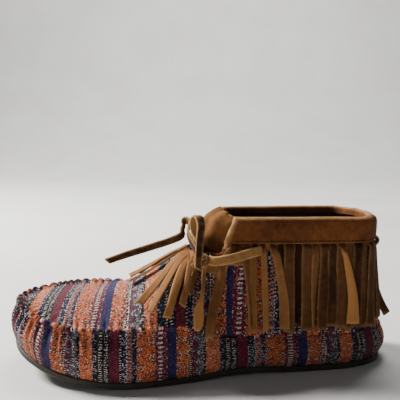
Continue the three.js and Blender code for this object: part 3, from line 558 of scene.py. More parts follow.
ORANGE, SALMON = shade(226, 112, 62), shade(214, 124, 86)
NAVY, PURPLE, INK = shade(20, 25, 62), shade(38, 27, 78), shade(11, 11, 21)
BURGUNDY, CREAM, ASH = shade(106, 14, 46), shade(232, 220, 208), shade(98, 88, 98)
BROWN, PINK, ROSE = shade(92, 52, 48), shade(196, 128, 116), shade(168, 92, 66)

# The cloth's repeat: where each stripe starts, its ground, its figure's colour and the figure
CLOTH_REPEAT = 85.0
STRIPES = [
    (0.000, SALMON, ORANGE, "flecks"), (0.100, NAVY, CREAM, "plain"), (0.132, INK, CREAM, "ticks"),
    (0.232, BURGUNDY, INK, "plain"), (0.306, INK, CREAM, "dots"), (0.322, NAVY, CREAM, "plain"),
    (0.360, BROWN, PINK, "dashes"), (0.405, NAVY, CREAM, "plain"), (0.435, ROSE, ORANGE, "waves"),
    (0.580, BURGUNDY, CREAM, "spots"), (0.673, PURPLE, NAVY, "plain"), (0.750, ROSE, ORANGE, "arches"),
    (0.870, INK, CREAM, "dots"), (0.884, ASH, BURGUNDY, "teeth"), (0.975, INK, CREAM, "plain"),
]
# How much each kind of figure is speckled with pale and dark yarn
SPECKLED = {"plain": 0.07, "flecks": 0.75, "waves": 0.95, "arches": 0.95, "teeth": 0.75, "spots": 0.35,
            "dashes": 0.6, "ticks": 0.15}
# Widths of a yarn across and along the stripes, and how often each figure comes along a stripe
YARN, PICK = 0.62, 0.62
DOT_PITCH, DASH_PITCH, SPOT_PITCH = 1.86, 2.48, 3.1
WAVE_PITCH, ARCH_PITCH, TOOTH_PITCH = 11.8, 10.5, 9.3
FULL_CIRCLE = 6.2832


def woven_cloth(name):
    board = Board(name, Specular_IOR_Level=0.25, Sheen_Weight=0.03)
    chart = board.node("ShaderNodeUVMap", uv_map="chart")
    split = board.node("ShaderNodeSeparateXYZ", {0: chart})
    u, v = split, split.output(1)
    bend = board.noise(160.0, 2.0) - 0.5
    u, v = u + bend * 0.9, v + bend * 0.7
    yarn, pick = (u / YARN).whole(), (v / PICK).whole()
    share = ((yarn + 0.5) * (YARN / CLOTH_REPEAT)).fraction()
    run = (pick + 0.5) * PICK
    cell = board.node("ShaderNodeCombineXYZ", {0: yarn, 1: pick})
    chance = board.node("ShaderNodeTexWhiteNoise", {0: cell}, noise_dimensions="2D")
    warp = board.noise(90.0, 2.0)
    ground = board.ramp(share, [(s, c) for s, c, _, _ in STRIPES])
    figure_colour = board.ramp(share, [(s, f) for s, _, f, _ in STRIPES])

    def figure(kind, q):
        if kind == "flecks":
            return chance > 0.42
        if kind == "ticks":
            column = (abs(q - 0.3) < 0.13) + (abs(q - 0.72) < 0.13)
            return ((run / DOT_PITCH).fraction() < 0.5) * column * (chance > 0.30)
        if kind == "dots":
            return ((run / DOT_PITCH).fraction() < 0.5) * (chance > 0.3)
        if kind == "dashes":
            return ((run / DASH_PITCH).fraction() + (q - 0.5) * 0.6).fraction() < 0.5
        if kind == "waves":
            wave = ((run / WAVE_PITCH + warp * 0.3) * FULL_CIRCLE).math("SINE") * 0.25
            return (abs(q - 0.5 - wave) < 0.29) + (chance > 0.86)
        if kind == "spots":
            return ((run / SPOT_PITCH).fraction() < 0.42) * (abs(q - 0.45) < 0.2) * (chance > 0.18)
        if kind == "arches":
            rise = (run / ARCH_PITCH + warp * 0.25).fraction()
            far = (q - 0.42).math("POWER", 2.0) * 3.2 + (rise - 0.5).math("POWER", 2.0) * 2.6
            return (far < 0.46) * ((far < 0.07) + (far > 0.13)) + (chance > 0.88)
        if kind == "teeth":
            return (q < abs((run / TOOTH_PITCH).fraction() * 2 - 1) * 0.75) * (chance > 0.12)
        return chance > 0.90

    marks, speckled = None, None
    ends = [row[0] for row in STRIPES[1:]] + [1.0]
    for (start, _, _, kind), end in zip(STRIPES, ends):
        inside = (share > start) * (share < end)
        part = inside * figure(kind, (share - start) / (end - start))
        marks = part if marks is None else marks + part
        if kind in SPECKLED:
            part = inside * SPECKLED[kind]
            speckled = part if speckled is None else speckled + part
    colour = board.mix(marks.held() * 0.94, ground, figure_colour)
    other = (chance * 17.3).fraction()
    colour = board.mix(speckled * (other > 0.83) * (1.0 - marks.held() * 0.86), colour, CREAM)
    colour = board.mix(speckled * (other < 0.35) * (1.0 - marks.held() * 0.1), colour, INK)
    colour = board.mix((chance > 0.99) * 0.2, colour, CREAM)
    colour = board.mix((chance * 7.3).fraction() * 0.36, colour, INK)
    dust = board.noise(30.0, 4.0)
    colour = board.mix((dust * 1.6 - 0.5).held() * 0.35, colour, INK)
    rib = abs((u / YARN).fraction() - 0.5) * 2
    float_over = abs((v / PICK).fraction() - 0.5) * 2
    fuzz = board.noise(1500.0, 2.0)
    height = (1 - rib * rib) * 0.4 + (1 - float_over * float_over) * 0.3 + fuzz * 0.5 + chance * 0.6
    return board.finish(colour, fuzz * 0.12 + 0.80, height, 0.00045, 0.9)


def suede_leather(name, dark, light, wear_and_highlight, sheen=0.08, grain=1100.0, cloudy=1.2, wear_and_highlight_amount=0.7):
    board = Board(name, Specular_IOR_Level=0.2, Sheen_Weight=sheen, Sheen_Roughness=0.4, Sheen_Tint=light)
    cloud, nap, fine = board.noise(55.0, 4.0), board.noise(260.0, 3.0), board.noise(grain, 3.0, 0.7)
    tone, edge = board.value("tone"), board.value("edge")
    base = ((cloud - 0.5) * cloudy + (nap - 0.5) * cloudy * 0.75 + tone).held()
    colour = board.mix(base, dark, light)
    colour = board.mix((fine * 2.2 - 0.95).held() * 0.5, colour, dark)
    # Edges are mixed towards a lighter colour: partly rubbed wear, partly painted highlight where light catches them
    colour = board.mix((edge * (nap * 1.2 + 0.1)).held() * wear_and_highlight_amount, colour, wear_and_highlight)
    return board.finish(colour, nap * 0.15 + 0.80, fine * 0.8 + nap * 0.6, 0.00042, 0.85)


def plain_stuff(name, dark, light, scale, rough, depth, specular=0.3):
    board = Board(name, Specular_IOR_Level=specular)
    cloud, fine = board.noise(scale, 4.0), board.noise(scale * 14, 3.0)
    colour = board.mix((cloud * 1.5 - 0.25 + (fine - 0.5) * 0.8).held(), dark, light)
    return board.finish(colour, (fine - 0.5) * 0.3 + rough, fine, depth, 0.7)


def tread_rubber(name):
    board = Board(name, Specular_IOR_Level=0.35)
    cloud, fine = board.noise(50.0, 5.0), board.noise(900.0, 3.0)
    spots = board.node("ShaderNodeSeparateXYZ", {0: board.place()})
    waves = spots.output(1) * 260.0
    ribs = ((spots * 420.0 + waves.math("SINE") * 0.35).math("SINE") * 2.0).held()
    facing = board.node("ShaderNodeSeparateXYZ", {0: board.node("ShaderNodeNewGeometry", out="Normal")})
    below = (facing.output(2) < -0.6) * 1.0
    colour = board.mix((cloud * 1.6 - 0.3).held(), shade(30, 26, 22), shade(58, 50, 38))
    colour = board.mix((fine * 2 - 1.0).held() * 0.5, colour, shade(86, 76, 60))
    return board.finish(colour, (cloud - 0.5) * 0.3 + 0.62, fine * 0.25 + ribs * below * 2.0, 0.0006, 0.7)


weave = woven_cloth("woven_stripes")
lining = plain_stuff("lining_cloth", shade(28, 30, 30), shade(66, 68, 66), 120.0, 0.9, 0.0003)
felt = plain_stuff("sole_felt", shade(86, 78, 70), shade(128, 116, 102), 90.0, 0.92, 0.0004)
thread = plain_stuff("waxed_thread", shade(34, 20, 10), shade(66, 40, 20), 700.0, 0.7, 0.0001)
pale_thread = plain_stuff("seam_thread", shade(60, 24, 30), shade(110, 48, 46), 700.0, 0.8, 0.0001)
rubber = tread_rubber("sole_rubber")
suede = suede_leather("cuff_suede", shade(62, 31, 14), shade(118, 72, 36), shade(194, 152, 102),
                      grain=850.0, cloudy=1.4)
fringe_suede = suede_leather("fringe_suede", shade(43, 19, 8), shade(172, 118, 68), shade(192, 148, 96),
                             cloudy=0.32, wear_and_highlight_amount=0.34)
tongue_suede = suede_leather("tongue_suede", shade(72, 43, 20), shade(130, 86, 44), shade(166, 122, 74))
lace_suede = suede_leather("lace_suede", shade(54, 33, 19), shade(150, 108, 64), shade(196, 158, 108), 0.06)

# The camera stands where the photo's did
CAMERA_PLACE = (-0.0549, -0.3778, 0.1555)
YAW, PITCH, ROLL = 0.132, 0.1175, 0.014
SENSOR, FOCAL_PIXELS, PHOTO_PIXELS = 36.0, 570, 400
forward = np.array([math.sin(YAW) * math.cos(PITCH), math.cos(YAW) * math.cos(PITCH), -math.sin(PITCH)])
right = np.array([math.cos(YAW), -math.sin(YAW), 0.0])
upright = np.cross(right, forward)
level = right * math.cos(ROLL) + upright * math.sin(ROLL)
stand = upright * math.cos(ROLL) - right * math.sin(ROLL)
camera_data = bpy.data.cameras.new("camera")
camera_data.sensor_width = SENSOR
camera_data.lens = SENSOR * FOCAL_PIXELS / PHOTO_PIXELS
camera = linked("camera", camera_data)
camera.matrix_world = stood(level, stand, -forward, CAMERA_PLACE)
bpy.context.scene.camera = camera


def lace_spots(rows):
    return np.array([(x_at(along), side * COLLAR_WIDTH, up * COLLAR_HEIGHT) for along, side, up in rows])


# The knot and the two free lengths of flat lace
KNOT_PLACE = (.5168, -.483, .752)
LOOP_ROUTE = [(.5216, -.362, .852), (.5325, -.303, .905), (.5375, -.29, .965), (.5345, -.32, 1.01),
              (.527, -.395, 1.015), (.5235, -.45, .97), (.5272, -.5, .896), (.5316, -.565, .797),
              (.5345, -.59, .707)]
END_ROUTE = [(.5305, -.42, .789), (.54, -.33, .835), (.549, -.2, .895), (.545, -.11, .96), (.554, -.075, .965),
             (.559, -.065, .915), (.564, -.05, .862), (.587, -.025, .83), (.645, 0, .78), (.705, .015, .732),
             (.7594, 0, .687)]


def lace_cord(name, route, across, node, tone, width):
    line = curve_through(lace_spots(route), False, 64)
    share = np.linspace(0, 1, len(line))
    made = Cloths()
    ways = np.broadcast_to(np.array(across, float), line.shape)
    faces = np.broadcast_to(np.array([0.0, -1.0, 0.0]), line.shape)
    made.ribbon(line, ways, faces, width(share), LACE_LEATHER, curl=0.25 * np.sin(share * 9), tone=tone(share),
                slant=1.2)
    piece = made.piece(name, [lace_suede], "lace_suede", node)


# Lean, roll, radius and width of each turn of the knot
KNOT_TURNS = [(0.2, 0.1, 2.9, 4.6), (1.35, 0.5, 2.8, 4.2), (0.75, -0.9, 3.2, 3.6)]
knot_centre = lace_spots([KNOT_PLACE])[0]
knot = Cloths()
for lean, roll, radius, width in KNOT_TURNS:
    theta = np.linspace(0, 2 * math.pi, 40)
    one = np.array([math.cos(lean), 0.25 * math.sin(roll), math.sin(lean)])
    one = one / np.linalg.norm(one)
    axis = unit(np.cross(one, np.array([math.sin(roll), 1.0, 0.3 * math.cos(lean)])))
    two = np.cross(axis, one)
    radial = np.cos(theta)[:, None] * one + np.sin(theta)[:, None] * two
    knot.ribbon(knot_centre + radial * radius, np.broadcast_to(axis, radial.shape), radial, width,
                LACE_LEATHER, tone=0.4, curl=-0.5)
knot_piece = knot.piece("lace_knot_wraps", [lace_suede], "lace_suede", "lace_knot")
# The loop's first half is painted lit and its second half painted in shade
lace_cord("lace_loop_strap", LOOP_ROUTE, (1, 0, 0), "lace_loop",
          lambda s: mix(0.9, 0.1, smooth((s - 0.45) / 0.1)), lambda s: LACE_WIDTH * (1 - 0.25 * s ** 3))
# The end is painted dark as shade, with a painted highlight about a third of the way along
lace_cord("lace_end_strap", END_ROUTE, (0, -0.35, 0.94), "lace_end",
          lambda s: 0.08 + 0.4 * np.exp(-((s - 0.3) / 0.12) ** 2), lambda s: LACE_WIDTH * (1 - 0.15 * s ** 4))

# Gathers along the seam
turn_line = np.linspace(0, 5, 6001)
seam_run, band_run, shaft_run = (run_along(bare(turn_line, climb)) for climb in (1.0, 0.5, 1.4))
# Where the gathers start along the sole and over how much of it they grow
GATHER_START, GATHER_GROWTH = 0.54, 0.34
PUCKER_PITCH = 5.4
PUCKER_DEPTH = 2.1
SEAM_RIDGE = 1.7


def gathered(turn):
    return smooth((Station(turn).along - GATHER_START) / GATHER_GROWTH)


def pucker_wave(turn):
    run = np.interp(np.mod(turn, 5), turn_line, seam_run)
    phase = run / PUCKER_PITCH + 0.3 * np.sin(run / 9.0) + 0.2 * np.sin(run / 4.1)
    round_wave = 0.5 + 0.5 * np.cos(2 * math.pi * phase)
    return (2 * round_wave ** 0.6 - 1.1) * (0.8 + 0.3 * np.sin(run / 15.0 + 1.0))


def relief(turn, climb):
    """How far the cloth stands off the plain skin, in millimetres."""
    turn, climb = np.broadcast_arrays(turn, climb)
    above = 0.62 * (1 - smooth((climb - 1.0) / 0.36))
    reach = np.where(climb <= 1, 0.12 + 0.88 * smooth((climb - 0.35) / 0.6), above)
    wave = PUCKER_DEPTH * gathered(turn) * pucker_wave(turn) * reach
    fade = mix(0.25, 1, smooth((Station(turn).along - 0.47) / 0.08))
    ridge = SEAM_RIDGE * fade * np.exp(-((climb - 1) / 0.06) ** 2)
    run = np.interp(np.mod(turn, 5), turn_line, band_run)
    slack = 0.28 * ripple(run * 0.6, climb * 32, 0.7) * np.sin(math.pi * np.clip(climb / 2, 0.04, 0.96))
    return wave * 0.8 + ridge + slack


def cloth_shell(name, turns, climbs, chart, *nodes):
    turn, climb = np.meshgrid(turns, climbs)
    station = Station(turn)
    outer = skin(turn, climb, relief(turn, climb))
    inner = skin(turn, climb, np.full(turn.shape, -WALL))
    crest = station.front & (climb > 2 - 1e-6)
    middle = bare(turn, climb)
    slope = (crest_up(station.hub_along + 0.004) - crest_up(station.hub_along - 0.004)) * INSTEP_HEIGHT
    stretch = np.hypot(1, slope / (0.008 * SOLE_LENGTH))
    outer = np.where(crest[..., None], middle, outer)
    below = middle - np.stack([0 * stretch, 0 * stretch, WALL * stretch], axis=-1)
    inner = np.where(crest[..., None], below, inner)
    foot = climb < 1e-6
    inner[..., 2] = np.where(foot, station.floor, inner[..., 2])
    shell = Cloths()
    uv = chart(turn, climb, outer)
    face = shell.grid(outer, chart=uv)
    back = shell.grid(inner, kind=1, flip=True, chart=uv)
    shell.rims(face, back, FIRST_ROW)
    if turns[-1] - turns[0] < 5 - 1e-6:
        shell.rims(face, back, FIRST_COLUMN, LAST_COLUMN)
    open_top = np.where(~station.front[-1])[0]
    if climbs[-1] > 2 - 1e-6:
        for i, j in zip(open_top[:-1], open_top[1:]):
            if j == i + 1:
                shell.rims(face, back, (-1, [i, j]))
    else:
        shell.rims(face, back, LAST_ROW)
    shell.piece(name, [weave, lining], "woven_fabric", *nodes)


# Where on each panel the cloth's repeat starts, how long it runs there and how it leans
BAND_START_X, SHAFT_START_X = -4.7, 14.2
BAND_REPEAT_TOE, BAND_REPEAT_HEEL, BAND_RISE = 78.5, 91.0, 38.0
PLUG_X = [-150, -109.9, -87.2, -67.7, -43, 42]
PLUG_SHARE = [-0.47, 0.11, 0.44, 0.71, 1.0, 2.0]
PLUG_LEAN = math.tan(math.radians(4.6))
SHAFT_SHARE, SHAFT_REPEAT, SHAFT_LEAN = 0.673, 89.0, 0.0006


def run_at_x(run, x):
    """How far along the outer side a place in x lies."""
    sample = np.linspace(1.0, 2.0, 400)
    xs = bare(sample, 0.5)[:, 0] + MIDDLE[0]
    return np.interp(np.interp(-x, -xs, sample), turn_line, run)


band_zero = run_at_x(band_run, BAND_START_X)
shaft_zero = run_at_x(shaft_run, SHAFT_START_X)


def band_share(turn):
    run = np.interp(turn, turn_line, band_run) - band_zero
    return np.where(run > 0, -run / BAND_REPEAT_TOE, -run / BAND_REPEAT_HEEL)


def band_chart(turn, climb, places):
    return np.stack([band_share(turn) * CLOTH_REPEAT, climb * BAND_RISE], axis=-1)


def plug_chart(turn, climb, places):
    """Across the plug the cloth's run is its width plus what it drops from the ridge."""
    rows = np.arange(places[..., 0].min(), places[..., 0].max(), 4.0)
    ridge = [places[..., 2][np.abs(places[..., 0] - row - 2) <= 2.5].max() for row in rows]
    drop = np.interp(places[..., 0], rows + 2, ridge) - places[..., 2]
    side = np.clip((places[..., 1] + 4) / 12, -1, 1)
    x = places[..., 0] + MIDDLE[0] - (places[..., 1] + MIDDLE[1] + 30) * PLUG_LEAN
    share = np.interp(x, PLUG_X, PLUG_SHARE)
    return np.stack([share * CLOTH_REPEAT, places[..., 1] + side * 0.6 * drop], axis=-1)


def shaft_chart(turn, climb, places):
    near = np.where(turn > 2.5, 5 - turn, turn)
    run = np.interp(np.abs(near), turn_line, shaft_run) - shaft_zero
    share = SHAFT_SHARE + run / SHAFT_REPEAT + (places[..., 2] - 55) * SHAFT_LEAN
    return np.stack([share * CLOTH_REPEAT, places[..., 2]], axis=-1)


PLUG_START = 0.524
around = spans((0, 1.2, 130), (1.2, 3.8, 900), (3.8, 5, 130))
plug_turns = spans((outer_turn(PLUG_START), outer_turn(THROAT_BASE), 8), (outer_turn(THROAT_BASE), 2, 240),
                   (2, 3, 320), (3, inner_turn(THROAT_BASE), 240),
                   (inner_turn(THROAT_BASE), inner_turn(PLUG_START), 8))
shaft_turns = np.linspace(inner_turn(PLUG_START) - 5, outer_turn(PLUG_START), 420)
cloth_shell("cloth_band", around, spans((0, 0.8, 24), (0.8, 1.0, 14)), band_chart, "upper")
cloth_shell("cloth_plug", plug_turns, spans((1, 1.45, 26), (1.45, 2, 22)), plug_chart, "upper")
cloth_shell("cloth_shaft", shaft_turns, np.linspace(1, 2, 60), shaft_chart, "upper")

# The welt cord that the gathers are sewn over
seam = Cloths()
seam_turns = np.linspace(0, 5, 2600)
swell = 0.88 + 0.42 * gathered(seam_turns)
beads = 1 + 0.10 * gathered(seam_turns) * pucker_wave(seam_turns)
ridge_lift = relief(seam_turns, np.ones_like(seam_turns)) - 0.45
seam_line = skin(seam_turns, np.ones_like(seam_turns), ridge_lift)
SEAM_SIDES = 9
seam.tube(seam_line, swell * beads, SEAM_SIDES, closed=True)
seam_chart = band_chart(seam_turns, np.ones_like(seam_turns), seam_line)
seam.chart = [np.repeat(seam_chart[:, None], SEAM_SIDES + 1, axis=1).reshape(-1, 2)]
seam.piece("gathered_seam", [weave], "woven_fabric", "upper")


def stitch_row(name, centres, outwards, length, width, material, slot, *nodes):
    """Short stitches laid along a line, half sunk in what they sew."""
    made = Cloths()
    run = run_along(centres)
    for start in np.arange(0.5, run[-1] - length, length * 1.5):
        at = start + np.linspace(0, 1, 6) * length
        line = np.stack([np.interp(at, run, centres[:, k]) for k in range(3)], axis=-1)
        off = unit(np.stack([np.interp(at, run, outwards[:, k]) for k in range(3)], axis=-1))
        line = line + off * (0.22 * np.sin(np.linspace(0, math.pi, 6)))[:, None]
        made.tube(line, width * (0.55 + 0.45 * np.sin(np.linspace(0.1, math.pi - 0.1, 6))), 6)
    made.piece(name, [material], slot, *nodes)


side_turns = np.linspace(inner_turn(0.60) - 5, outer_turn(0.60), 700)
for name, climb in (("seam_stitches_low", 0.93), ("seam_stitches_high", 1.10)):
    level_climb = np.full(side_turns.shape, climb)
    stitch_row(name, skin(side_turns, level_climb, relief(side_turns, level_climb) + 0.15),
               outward(side_turns, level_climb), 2.4, 0.42, pale_thread, "woven_fabric", "upper")

# Sole and insole, rings from the middle line to the edge and back
ring_turns = np.linspace(0, 5, 721)
ring_station = Station(ring_turns)


def sole_ring(inset, share, low, lift):
    reach = ring_station.reach * share if share < 1 else ring_station.reach - inset
    x = ring_station.hx + ring_station.wx * reach
    y = ring_station.hy + ring_station.wy * reach
    return np.stack([x, y, underside(x) + low + lift], axis=-1)


def sole_piece(name, rings, material, slot, node):
    made = Cloths()
    made.grid(np.stack([sole_ring(*ring) for ring in rings]))
    made.piece(name, [material], slot, node)


# Each ring: how far inside the edge, its share of the way out, the level it lies on and its lift above that
EDGE_ROUND = 1.1
arc = [(EDGE_ROUND * (1 - math.sin(a)), EDGE_ROUND * (1 - math.cos(a))) for a in np.linspace(0, math.pi / 2, 7)]
sole_piece("outsole_rubber", [(0, s, 0, 0) for s in np.linspace(0, 0.96, 14)]
           + [(inset, 1, 0, lift) for inset, lift in arc]
           + [(0.05, 1, 0, 1.6), (0.18, 1, 0, 2.0), (0.05, 1, 0, 2.4), (0, 1, 0, SOLE_THICKNESS - 0.7),
              (0.25, 1, 0, SOLE_THICKNESS - 0.2), (0.7, 1, 0, SOLE_THICKNESS)]
           + [(0, s, 0, SOLE_THICKNESS) for s in np.linspace(0.97, 0, 12)], rubber, "sole_rubber", "outsole")
inset = BAND_FOOT_INSET + WALL + 2 * GAP
base = SOLE_THICKNESS + LAYER_GAP
sole_piece("insole_pad", [(0, s, base, 0) for s in np.linspace(0, 0.93, 12)]
           + [(inset + 0.4, 1, base, 0), (inset, 1, base, 0.6), (inset, 1, base, 2.2), (inset + 0.5, 1, base, 2.8)]
           + [(0, s, base, INSOLE_THICKNESS) for s in np.linspace(0.93, 0, 14)], felt, "insole_felt", "insole")


def rounded(section):
    """Cuts the corners of a closed section three times."""
    section = np.array(section, float)
    for _ in range(3):
        after = np.roll(section, -1, axis=0)
        section = np.stack([mix(section, after, 0.25), mix(section, after, 0.75)], axis=1).reshape(-1, 2)
    return section


ANKLE_RUN = 150


def leaf_wave(run, height):
    return 0.22 * ripple(run * 1.3, height * 2, 1.3)


def rim_wave(run, height):
    return 0.35 * ripple(run, height * 0.3, 2.1)


def round_ankle(name, section, material, slot, node, waves, edge_of):
    """A closed section of heights and lifts carried round the ankle from front end to front end."""
    section = rounded(section)
    loop = np.concatenate([section, section[:1]])
    travel = np.linspace(-1, 1, 321)
    height, lift = loop[None, :, 0], loop[None, :, 1]
    turn = travel[:, None] * outer_turn(front_along(height))
    run = travel[:, None] * ANKLE_RUN + 0 * height
    places = on_side(turn, height, lift + waves(run, height))
    places[..., 2] += rim_wave(run, height)
    # Cut ends and the given edges are painted lighter: wear and painted highlight
    edge = edge_of(height) + 0 * turn
    edge[[0, -1]], edge[[1, -2]] = 1, 0.7
    made = Cloths()
    index = made.grid(places, edge=edge, tone=0.5 + 0.12 * ripple(run, height, 4.0))
    made.cap(index[0][:-1][::-1])
    made.cap(index[-1][:-1])
    made.piece(name, [material], slot, node)


FOLD_TOP = COLLAR_HEIGHT + LAYER_GAP + CUFF_LEATHER
LEAF_FOOT = COLLAR_HEIGHT - CUFF_OUTER_DROP
INNER_FOOT = COLLAR_HEIGHT - CUFF_INNER_DROP
OVER = HEADER_OUT + LAYER_GAP
INSIDE = -WALL - LAYER_GAP
round_ankle("cuff_leaf", [
    (LEAF_FOOT + 1.0, OVER), (LEAF_FOOT, OVER), (LEAF_FOOT - 0.3, OVER + 0.7), (LEAF_FOOT, OVER + 1.4),
    (LEAF_FOOT + 0.8, OVER + 1.45), (LEAF_FOOT + 1.4, OVER + 1.15), (LEAF_FOOT + 2.4, OVER + 1.6),
    (LEAF_FOOT + 8, OVER + 1.75), (FOLD_TOP - 3.4, OVER + 1.35), (FOLD_TOP - 1.2, OVER + 0.5), (FOLD_TOP, 0.6),
    (FOLD_TOP + 0.4, -WALL / 2), (FOLD_TOP, INSIDE - 0.4), (FOLD_TOP - 1.6, INSIDE - CUFF_LEATHER - 0.1),
    (INNER_FOOT + 8, INSIDE - CUFF_LEATHER), (INNER_FOOT + 7, INSIDE - CUFF_LEATHER), (INNER_FOOT + 7, INSIDE),
    (INNER_FOOT + 8.5, INSIDE), (FOLD_TOP - 1.7, INSIDE), (FOLD_TOP - 1.3, -WALL / 2), (FOLD_TOP - 1.8, LAYER_GAP),
    (HEADER_HIGH + 1.6, LAYER_GAP), (HEADER_HIGH + GAP, OVER)],
    suede, "suede", "cuff", leaf_wave,
    # The cuff's lower edge and, more strongly, its fold top are painted lighter: wear and painted highlight
    lambda height: 0.35 * smooth((LEAF_FOOT + 0.5 - height) / 0.8) + 0.75 * smooth((height - FOLD_TOP + 1.4) / 1.4))
travel = np.linspace(-0.985, 0.985, 900)
stitch_height = LEAF_FOOT + 1.4
stitch_turn = travel * outer_turn(front_along(stitch_height))
stitch_run = travel * ANKLE_RUN
stitch_line = on_side(stitch_turn, stitch_height, OVER + 1.34 + leaf_wave(stitch_run, stitch_height))
stitch_line[:, 2] += rim_wave(stitch_run, stitch_height)
stitch_out = on_side(stitch_turn, stitch_height, OVER + 2.42) - on_side(stitch_turn, stitch_height, OVER + 1.42)
stitch_row("cuff_stitches", stitch_line, stitch_out, 2.1, 0.30, thread, "suede", "cuff")

round_ankle("fringe_header", [(HEADER_LOW, LAYER_GAP), (HEADER_LOW, HEADER_OUT), (HEADER_HIGH, HEADER_OUT),
                              (HEADER_HIGH, LAYER_GAP)], fringe_suede, "suede", "fringe",
            lambda run, height: 0 * run, lambda height: 0 * height)

# Strips that hang from the header
edge_turns = np.linspace(1, -1, 801) * outer_turn(front_along(HEADER_LOW))
edge_line = on_side(edge_turns, HEADER_LOW, HEADER_OUT)
edge_run = run_along(edge_line)
strips = Cloths()
STRIP_LEATHER = FRINGE_LEATHER * 0.95
# Millimetres of the ankle in one turn, the place of the strip whose end flicks out and how far, the strip that
# bends towards the toe below and how far, and the place in the row of the strip that hangs loose
STRIP_RUN = 180
FLICK_SHARE, FLICK_REACH = 0.455, 5.0
BENT, KINK = 1, 8.0
LOOSE = 12.8
# Strips that hang apart from the row: shift towards the toe, width above and below, twist, painted highlight
PLACED = {1: (11.0, 1.2, 1.15, 0.5, 0.25), 2: (-4.0, 1.3, 0.9, -0.7, 0.0),
          3: (1.0, 0.8, 1.2, 0.6, 0.22), 4: (-2.0, 0.75, 0.8, 0.1, 0.55), 5: (-8.0, 0.7, 1.3, 0.6, 0.36),
          6: (-4.5, 1.3, 1.35, 0.2, 0.0), 10: (0.5, 1.1, 0.9, -0.9, 0.15), 20: (0.0, 1.3, 1.1, 0.9, 0.05),
          LOOSE: (-8.5, 0.2, 1.65, 0.12, 0.80)}
STEPS = np.linspace(0, 1, 26)
for i in [*range(1, ANKLE_STRIPS), LOOSE]:
    share = (i + 0.5) / ANKLE_STRIPS
    index = round(share * 1000)
    turn = np.interp(share * edge_run[-1], edge_run, edge_turns)
    foot = STRIP_END_HEIGHT + 2.5 * uneven(index, 2) + 7 * smooth((0.5 - abs(turn)) / 0.4)
    flick = FLICK_REACH if abs(share - FLICK_SHARE) < 0.5 / ANKLE_STRIPS else 0.0
    usual = (1.2 * uneven(index, 1), 1.36, 1.42, uneven(index, 6) * 0.3, 0.0)
    shift, broad_top, broad_foot, bend, painted_highlight = PLACED.get(i, usual)
    height = np.interp(STEPS, [0, 1 / 3, 2 / 3, 1],
                       [HEADER_LOW + 4, HEADER_LOW - 3, mix(HEADER_LOW, foot, 0.55), foot])
    shift = shift * smooth(STEPS / 0.8) + (KINK * smooth((STEPS - 0.35) / 0.65) if i == BENT else 0)
    at = turn + (shift + 0.5 * uneven(index, 5) * np.sin(STEPS * 5 + index)) / STRIP_RUN
    apart = 2.8 if i == LOOSE else 1.4 * (i % 2)
    lift = (STRIP_LIFT + apart * smooth(STEPS / 0.12) + 0.45 * smooth(STEPS / 0.15)
            + (1.3 + uneven(index, 3)) * np.sin(math.pi * 0.8 * STEPS)
            + flick * STEPS ** 6 + 0.5 * np.sin(STEPS * 7 + index) * STEPS)
    centre = on_side(at, height, lift)
    ahead = unit(on_side(at + 0.01, height, lift) - on_side(at - 0.01, height, lift))
    off = unit(np.cross(ahead, UP))
    twist = (bend * STEPS ** 1.5 + 0.26 * uneven(index, 7) * np.sin(STEPS * 6)) * smooth(STEPS / 0.3)
    across = turned(ahead, off, twist)
    width = STRIP_WIDTH * mix(broad_top, broad_foot, STEPS) * (1 + 0.04 * np.sin(STEPS * 11 + index * 1.3))
    # Tone: dark with random unevenness, plus a painted highlight that grows down the lit strips
    strips.ribbon(centre, across, off, width, STRIP_LEATHER,
                  curl=(0.35 + 0.6 * uneven(index, 9)) * smooth(STEPS / 0.3),
                  tone=0.12 + 0.15 * uneven(index, 10) + painted_highlight * smooth(STEPS / 0.4),
                  slant=0.9 * uneven(index, 11))
strips.piece("fringe_strips_ankle", [fringe_suede], "suede", "fringe")

# Strips that fan forward over the instep: from and to places along the sole, climbs, rise, width, twist, tone
FAN = [(.556, 1.94, .695, 1.86, 1.2, 1.25, 0.3, .55), (.554, 1.88, .672, 1.34, 1.4, 1.0, -0.4, .55),
       (.552, 1.81, .649, 1.22, 1.8, 1.0, 0.5, .45), (.550, 1.75, .613, 1.12, 2.2, 1.0, -0.2, .60),
       (.5325, 1.76, .578, 1.22, 2.4, 0.8, 0.5, .40), (.520, 1.74, .560, 1.32, 2.6, 0.6, -0.5, .35),
       (.506, 1.76, .543, 1.0, 2.8, 1.8, -0.5, .95), (.491, 1.79, .503, .98, 2.6, 1.0, -0.3, .40)]
